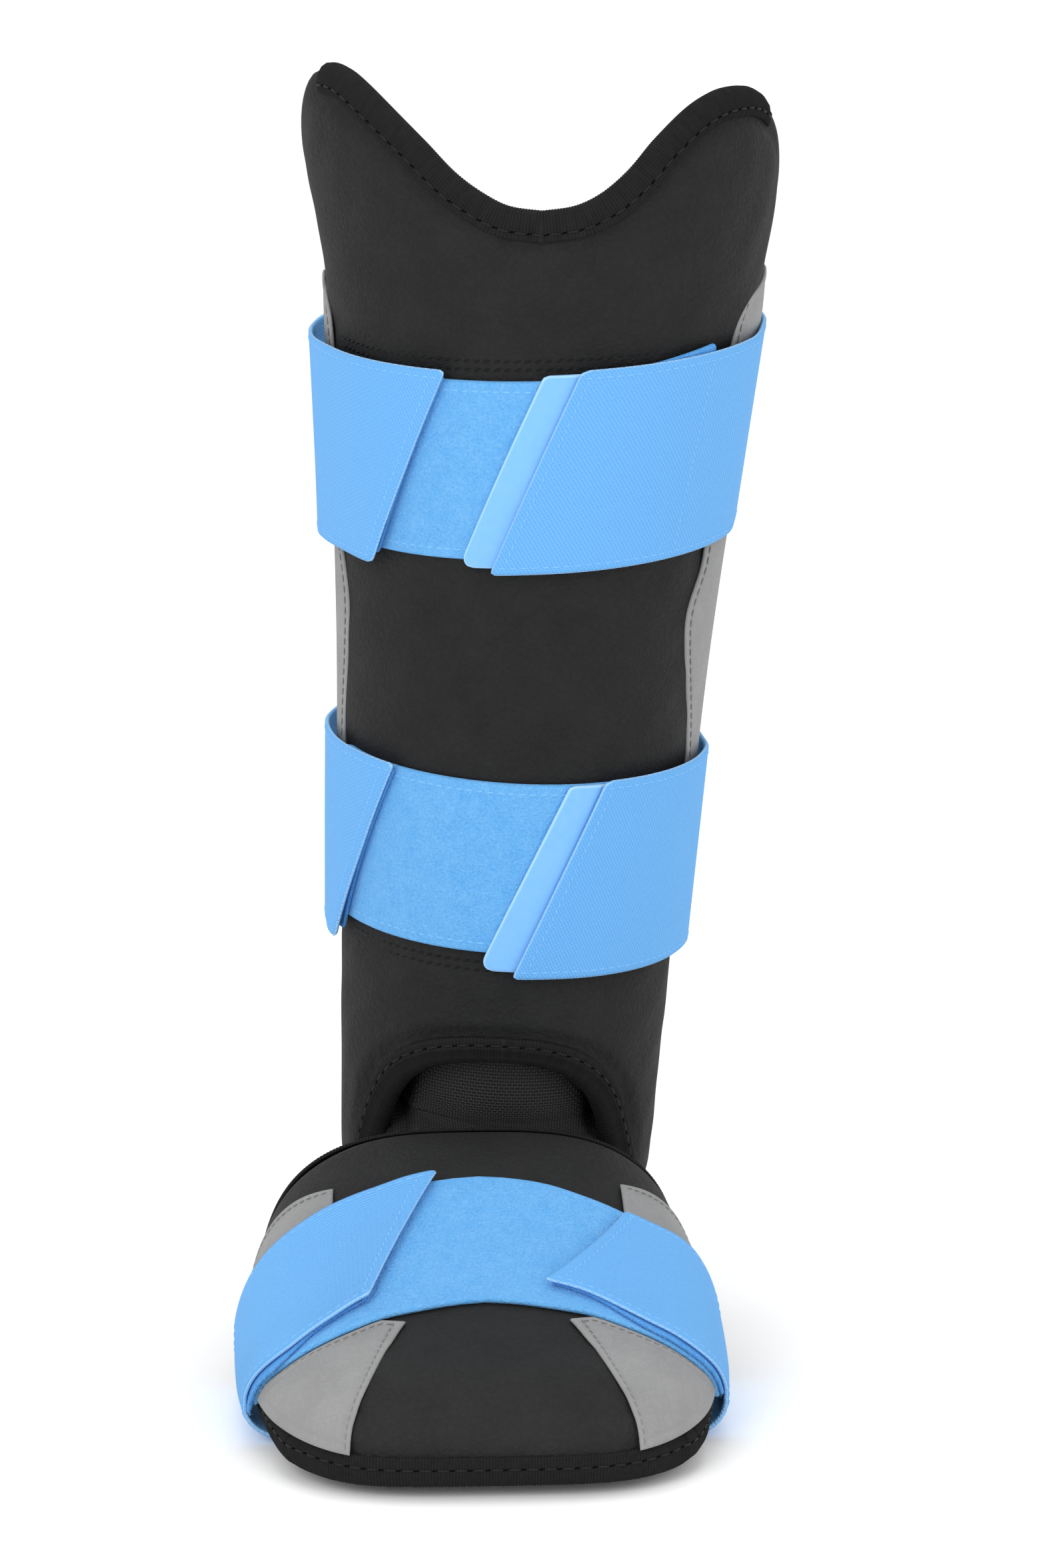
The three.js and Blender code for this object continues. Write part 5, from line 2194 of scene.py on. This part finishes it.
@dataclass
class FootStrap:
    """The elastic strap over the foot and under the sole, with its loop panel and hook pads."""

    foot: FootForm
    reach: float = 83.0
    hook_far: Pair = (86.0, 82.0)
    flares: tuple[Flare, Flare] = (Flare(0.085, 32, 62), Flare(0.065, 10, 36))
    setback: float = 0.9
    hook_margin: float = 0.03
    loop_corner: float = 3.0
    hook_corner: float = 2.5
    corner: float = 1.6
    fade: float = 50.0
    thickness: float = 1.5
    edge_inset: float = 0.042
    end_inset: float = 0.009

    def __post_init__(self) -> None:
        """Makes the forms of the strap's layers."""
        self.strip = FootStripForm(self.foot)
        self.band = band = FootBandForm(self.foot)
        self.hooks = replace(self.strip, shift=band.shift, skew=band.skew, rear_skews=band.rear_skews)
        right, left = (SlantedEnd((front + rear) / 2, rear - front) for front, rear in band.ends)
        self.band_ends = (right, SlantedEnd(2 * band.middle - left.angle, -left.slant))

    def strip_spots(self, strip: FootStrip, u: Array, v: Array) -> Places:
        """Spreads a grid over a strip.

        Args:
            strip: The strip.
            u: Places along it.
            v: Places across it.

        Returns:
            Coordinates of the strip's form.
        """
        drawn = self.cut(v, strip.corner)
        angle = part_way(part_way(*strip.left, v) + drawn, part_way(*strip.right, v) - drawn, u)
        return angle, strip.margin + (1 - 2 * strip.margin) * v - strip.flare.at(angle) * (1 - v)

    def cut(self, v: Array, radius: float) -> Array:
        """Returns how far a rounded corner draws an end back, in degrees."""
        inset = np.minimum(v, 1 - v) * self.strip.width
        return radius * (1 - quarter_round(inset / radius)) / self.strip.mm_per_degree

    def band_spots(self, u: Array, v: Array) -> Places:
        """Spreads a grid over the band, from its right end under the sole to its left end."""
        return band_angles(self.band_ends, self.fade, self.cut(v, self.corner), u, v), v

    def build(self) -> None:
        """Builds the strap's pieces and stitches."""
        left_hook, right_hook = self.hook_ends()
        reach, (far_left, far_right), margin = self.reach, self.hook_far, self.hook_margin
        strips = (
            ("loop_panel", LOOP_LAYER, self.strip, 110,
             FootStrip((-reach, -reach), (reach, reach), 0.0, self.loop_corner, Flare(0, 0, 1))),
            ("hook_left", HOOK_LAYER, self.hooks, 60,
             FootStrip((-far_left, -far_left), left_hook, margin, self.hook_corner, self.flares[0])),
            ("hook_right", HOOK_LAYER, self.hooks, 60,
             FootStrip(right_hook, (far_right, far_right), margin, self.hook_corner, self.flares[1])),
        )
        for part, layer, form, columns, strip in strips:
            name = f"foot_strap_{part}"
            under = "foot_shell" if layer is LOOP_LAYER else "foot_strap_loop_panel"
            sheet = Sheet(
                name, form, partial(self.strip_spots, strip), columns, STRIP_ROWS, layer.inner, layer.outer,
                rounding=0.7, held=Held.LAID, rests_on=(under,),
            )
            dress(sheet.build(), layer.slot, layer.finish, layer.finish, node=name)
        half = self.thickness / 2
        band = Sheet(
            "foot_strap_band", self.band, self.band_spots, 320, BAND_ROWS, -half, half, rounding=0.75,
            held=Held.STRETCHED, rests_on=("foot_strap_loop_panel",),
        ).build()
        places, half_way = band.data.uv_layers["UVMap"].data, self.band.middle * self.band.mm_per_degree
        for face in band.data.polygons:
            face.material_index = int(places[face.loop_start].uv[0] > half_way * MM)
        dress(band, Slot.ELASTIC, ELASTIC, RIBBED_ELASTIC, node="foot_strap_band")
        u, v = np.linspace(0.004, 0.996, 900), np.linspace(0.06, 0.94, 120)
        inset = self.edge_inset
        edges = [self.band_run(u, np.full_like(u, share)) for share in (inset, 1 - inset)]
        EDGE_SEAM.sew("foot_strap_edge_stitches", edges, Slot.ELASTIC, BLUE_THREAD)
        inset = self.end_inset
        ends = [self.band_run(np.full_like(v, share), v) for share in (inset, 1 - inset)]
        END_SEAM.sew("foot_strap_end_stitches", ends, Slot.ELASTIC, BLUE_THREAD)
        self.fray()

    def hook_ends(self) -> tuple[Pair, Pair]:
        """Finds the ends of the hook pads, a little behind the ends of the band.

        Returns:
            The ends of the left pad and of the right one.
        """
        right, left = self.band.ends
        pads = ((-angle - self.setback for angle in left), (angle + self.setback for angle in right))
        return tuple(map(tuple, pads))

    def fray(self) -> None:
        """Grows fibres along the ends and front edges of the hook pads."""
        margin, level = self.hook_margin, (HOOK_LAYER.inner + HOOK_LAYER.outer) / 2
        q = np.linspace(margin, 1 - margin, 120)
        left_end, right_end = (part_way(*end, q) for end in self.hook_ends())
        lines = [(Run.on(self.hooks, left_end, q, level), -1), (Run.on(self.hooks, right_end, q, level), 1)]
        fronts = ((-self.hook_far[0], left_end[0]), (right_end[0], self.hook_far[1]))
        for front, flare in zip(fronts, self.flares):
            angle = np.linspace(*front, 200)
            lines.append((Run.on(self.hooks, angle, margin - flare.at(angle), level), -1))
        Fuzz().grow("foot_strap_hook_fibres", lines, Slot.HOOK, BLUE_FIBRE)

    def band_run(self, u: Array, v: Array) -> Run:
        """Returns the line of a row of stitches on the band."""
        return Run.on(self.band, *self.band_spots(u, v), self.thickness / 2)


@dataclass(frozen=True)
class WebForm(Form):
    """The middle of the ankle web: p goes across, and q from under the foot shell up into the shin shell."""

    shin: ShinForm
    foot: FootForm
    steps: Pair = (0.05, 0.002)
    shin_depth: float = 11.4
    foot_depth: float = 9.6
    foot_shift: float = 9.0
    path: Curve = Curve(((0, 145), (0.2, 162.5), (0.4, 162.5), (1, 162.5)))
    height: Curve = Curve(((0, -137), (0.6, -137), (0.8, -117), (1, -97)))
    on_shin: Curve = Curve(((0, 0), (0.2, 0), (0.4, 0.5), (0.6, 1), (1, 1)))
    length: float = 98.0
    wings: Pair = (24.0, 28.0)
    wing_depth: float = 7.0

    def base(self, p: Array, q: Array) -> Array:
        """Leads the web's middle from shell to shell, with wings that lie deeper between them.

        Args:
            p: Places across.
            q: Shares of the way along.

        Returns:
            The points of the middle.
        """
        z, path = self.height.at(q), self.path.at(q)
        angle = np.degrees(np.arcsin(p / (self.shin.half.at(z) - self.shin_depth)))
        behind = self.shin.point(angle, z, np.full(np.shape(angle), -self.shin_depth))
        across = p + self.foot_shift
        share = np.abs(across) / column(FOOT_SECTIONS, "path", "half").at(path)
        turned = np.sign(across) * 2 * np.arcsin(share**1.5) / math.pi
        under = self.foot.point(turned, path, np.full(np.shape(turned), -self.foot_depth))
        weight = np.clip(self.on_shin.at(q), 0.0, 1.0)[..., None]
        free = window(q, (0.1, 0.3), (0.75, 0.95))
        back = self.wing_depth * smoothstep(np.abs(p), *self.wings) * free
        return part_way(under, behind, weight) + back[..., None] * np.array((0.0, 1.0, 0.0))

    def flat(self, p: Array, q: Array) -> Array:
        """Returns the places on the web when it is laid flat."""
        return stacked(p, q * self.length)


@dataclass
class AnkleWeb:
    """The black nylon web between the two shells."""

    shin: ShinForm
    foot: FootForm
    half: float = 26.5
    flare: float = 8.0
    thickness: float = 1.6
    crease: float = 0.9
    crease_place: float = 0.52
    crease_slant: float = 0.35
    crease_width: float = 3.0

    def __post_init__(self) -> None:
        """Makes the web's form."""
        self.form = WebForm(self.shin, self.foot)

    def spots(self, u: Array, v: Array) -> Places:
        """Spreads a grid over the web, which is wider below."""
        return (self.half + self.flare * (1 - smoothstep(v, 0.6, 0.95))) * (2 * u - 1), v

    def fold(self, p: Array, q: Array, edge: Array) -> Array:
        """Returns the height of the slanting crease that the web has where it bends."""
        along = (q - self.crease_place) * self.form.length
        return self.crease * ridge(along, -self.crease_slant * p, self.crease_width)

    def build(self) -> None:
        """Builds the web."""
        half = self.thickness / 2
        web = Sheet(
            "ankle_web", self.form, self.spots, 60, 90, -half, half, rounding=0.7, lift=self.fold,
            held=Held.STRETCHED, rests_on=("shin_shell", "foot_shell"),
        )
        dress(web.build(), Slot.WEBBING, WEBBING, WEBBING, node="ankle_web")


@dataclass
class Studio:
    """A pale floor, soft light and the camera."""

    floor_height: float = -205.0
    floor_half: float = 9.0
    target: tuple[float, float, float] = (0.0, 0.0, -45.0)
    elevation: float = 14.0
    distance: float = 2600.0
    focal_pixels: float = 13200.0
    image_height: float = 2352.0
    sensor: float = 36.0
    floor_gap: float = 0.3

    def build(self) -> None:
        """Builds the floor, the lights and the camera."""
        mesh = bmesh.new()
        bmesh.ops.create_grid(mesh, x_segments=1, y_segments=1, size=self.floor_half)
        bmesh.ops.translate(mesh, verts=mesh.verts, vec=(0, 0, (self.floor_height - self.floor_gap) * MM))
        floor = link_mesh("studio_floor", mesh)
        floor.data.materials.append(PALE_FLOOR.material())
        scene = bpy.context.scene
        scene.view_settings.view_transform = "Standard"
        world = bpy.data.worlds.new("studio_world")
        world.use_nodes = True
        background = world.node_tree.nodes["Background"]
        background.inputs["Color"].default_value = (1.0, 1.0, 1.0, 1.0)
        background.inputs["Strength"].default_value = 1.0
        scene.world = world
        self.light("key", (-1.3, -2.2, 1.5), 1.6, 26.0)
        self.light("fill", (1.9, -1.7, 0.9), 1.8, 11.0)
        self.light("top", (0.0, 0.4, 2.4), 1.8, 13.0)
        self.camera()

    def light(self, name: str, place: tuple[float, float, float], size: float, power: float) -> None:
        """Adds a soft square light that faces the guard.

        Args:
            name: The light's name.
            place: Where it stands, in metres.
            size: Its side.
            power: Its power in watts.
        """
        data = bpy.data.lights.new(name, "AREA")
        data.size = size
        data.energy = power
        lamp = put(name, data)
        lamp.location = place
        lamp.rotation_euler = (Vector(self.target) * MM - Vector(place)).to_track_quat("-Z", "Y").to_euler()

    def camera(self) -> None:
        """Adds the camera where the photograph was taken from."""
        tilt = math.radians(self.elevation)
        forward = Vector((0.0, math.cos(tilt), -math.sin(tilt)))
        data = bpy.data.cameras.new("camera")
        data.sensor_width = self.sensor
        data.lens = self.sensor * self.focal_pixels / self.image_height
        data.clip_end = 100.0
        camera = put("camera", data)
        camera.location = (Vector(self.target) - forward * self.distance) * MM
        camera.rotation_euler = forward.to_track_quat("-Z", "Y").to_euler()
        bpy.context.scene.camera = camera


def shin_straps(shin: ShinForm) -> list[ShinStrap]:
    """Lists the two straps of the shin.

    Args:
        shin: The shin's form.

    Returns:
        The upper and the lower strap.
    """
    return [
        ShinStrap(
            "upper", shin, 64.5, 0.085,
            loop=Strip(SlantedEnd(-56, 0), SlantedEnd(50, 0), 53, (0.0, 0.0), LOOP_CORNERS),
            left_end=SlantedEnd(-35.5, 23), right_end=SlantedEnd(-0.5, 21),
            hook_far=(-64, 50), settle=Settle(66, 84, 5.0, 2.0), right_hook_lift=3.9,
            cross_seam=SlantedEnd(44.5, 7),
        ),
        ShinStrap(
            "lower", shin, -58.0, 0.0,
            loop=Strip(SlantedEnd(-72, 0), SlantedEnd(56, 0), 52, (2.5, 2.5), LOOP_CORNERS),
            left_end=SlantedEnd(-53, 28), right_end=SlantedEnd(14.2, 25.5),
            hook_far=(-80, 62), settle=Settle(82, 97, 3.8, 2.0),
        ),
    ]


def main() -> None:
    """Builds the scene, piece by piece."""
    logging.basicConfig(level=logging.INFO, format="%(name)s: %(message)s")
    shin, foot = ShinForm(), FootForm()
    assemblies = [
        Studio(),
        ShinShell(shin),
        ShinPanels(shin),
        *shin_straps(shin),
        FootShell(foot),
        FootPanels(foot),
        FootStrap(foot),
        AnkleWeb(shin, foot),
    ]
    for assembly in assemblies:
        assembly.build()
        log.info("%s is done", type(assembly).__name__)


if __name__ == "__main__":
    main()
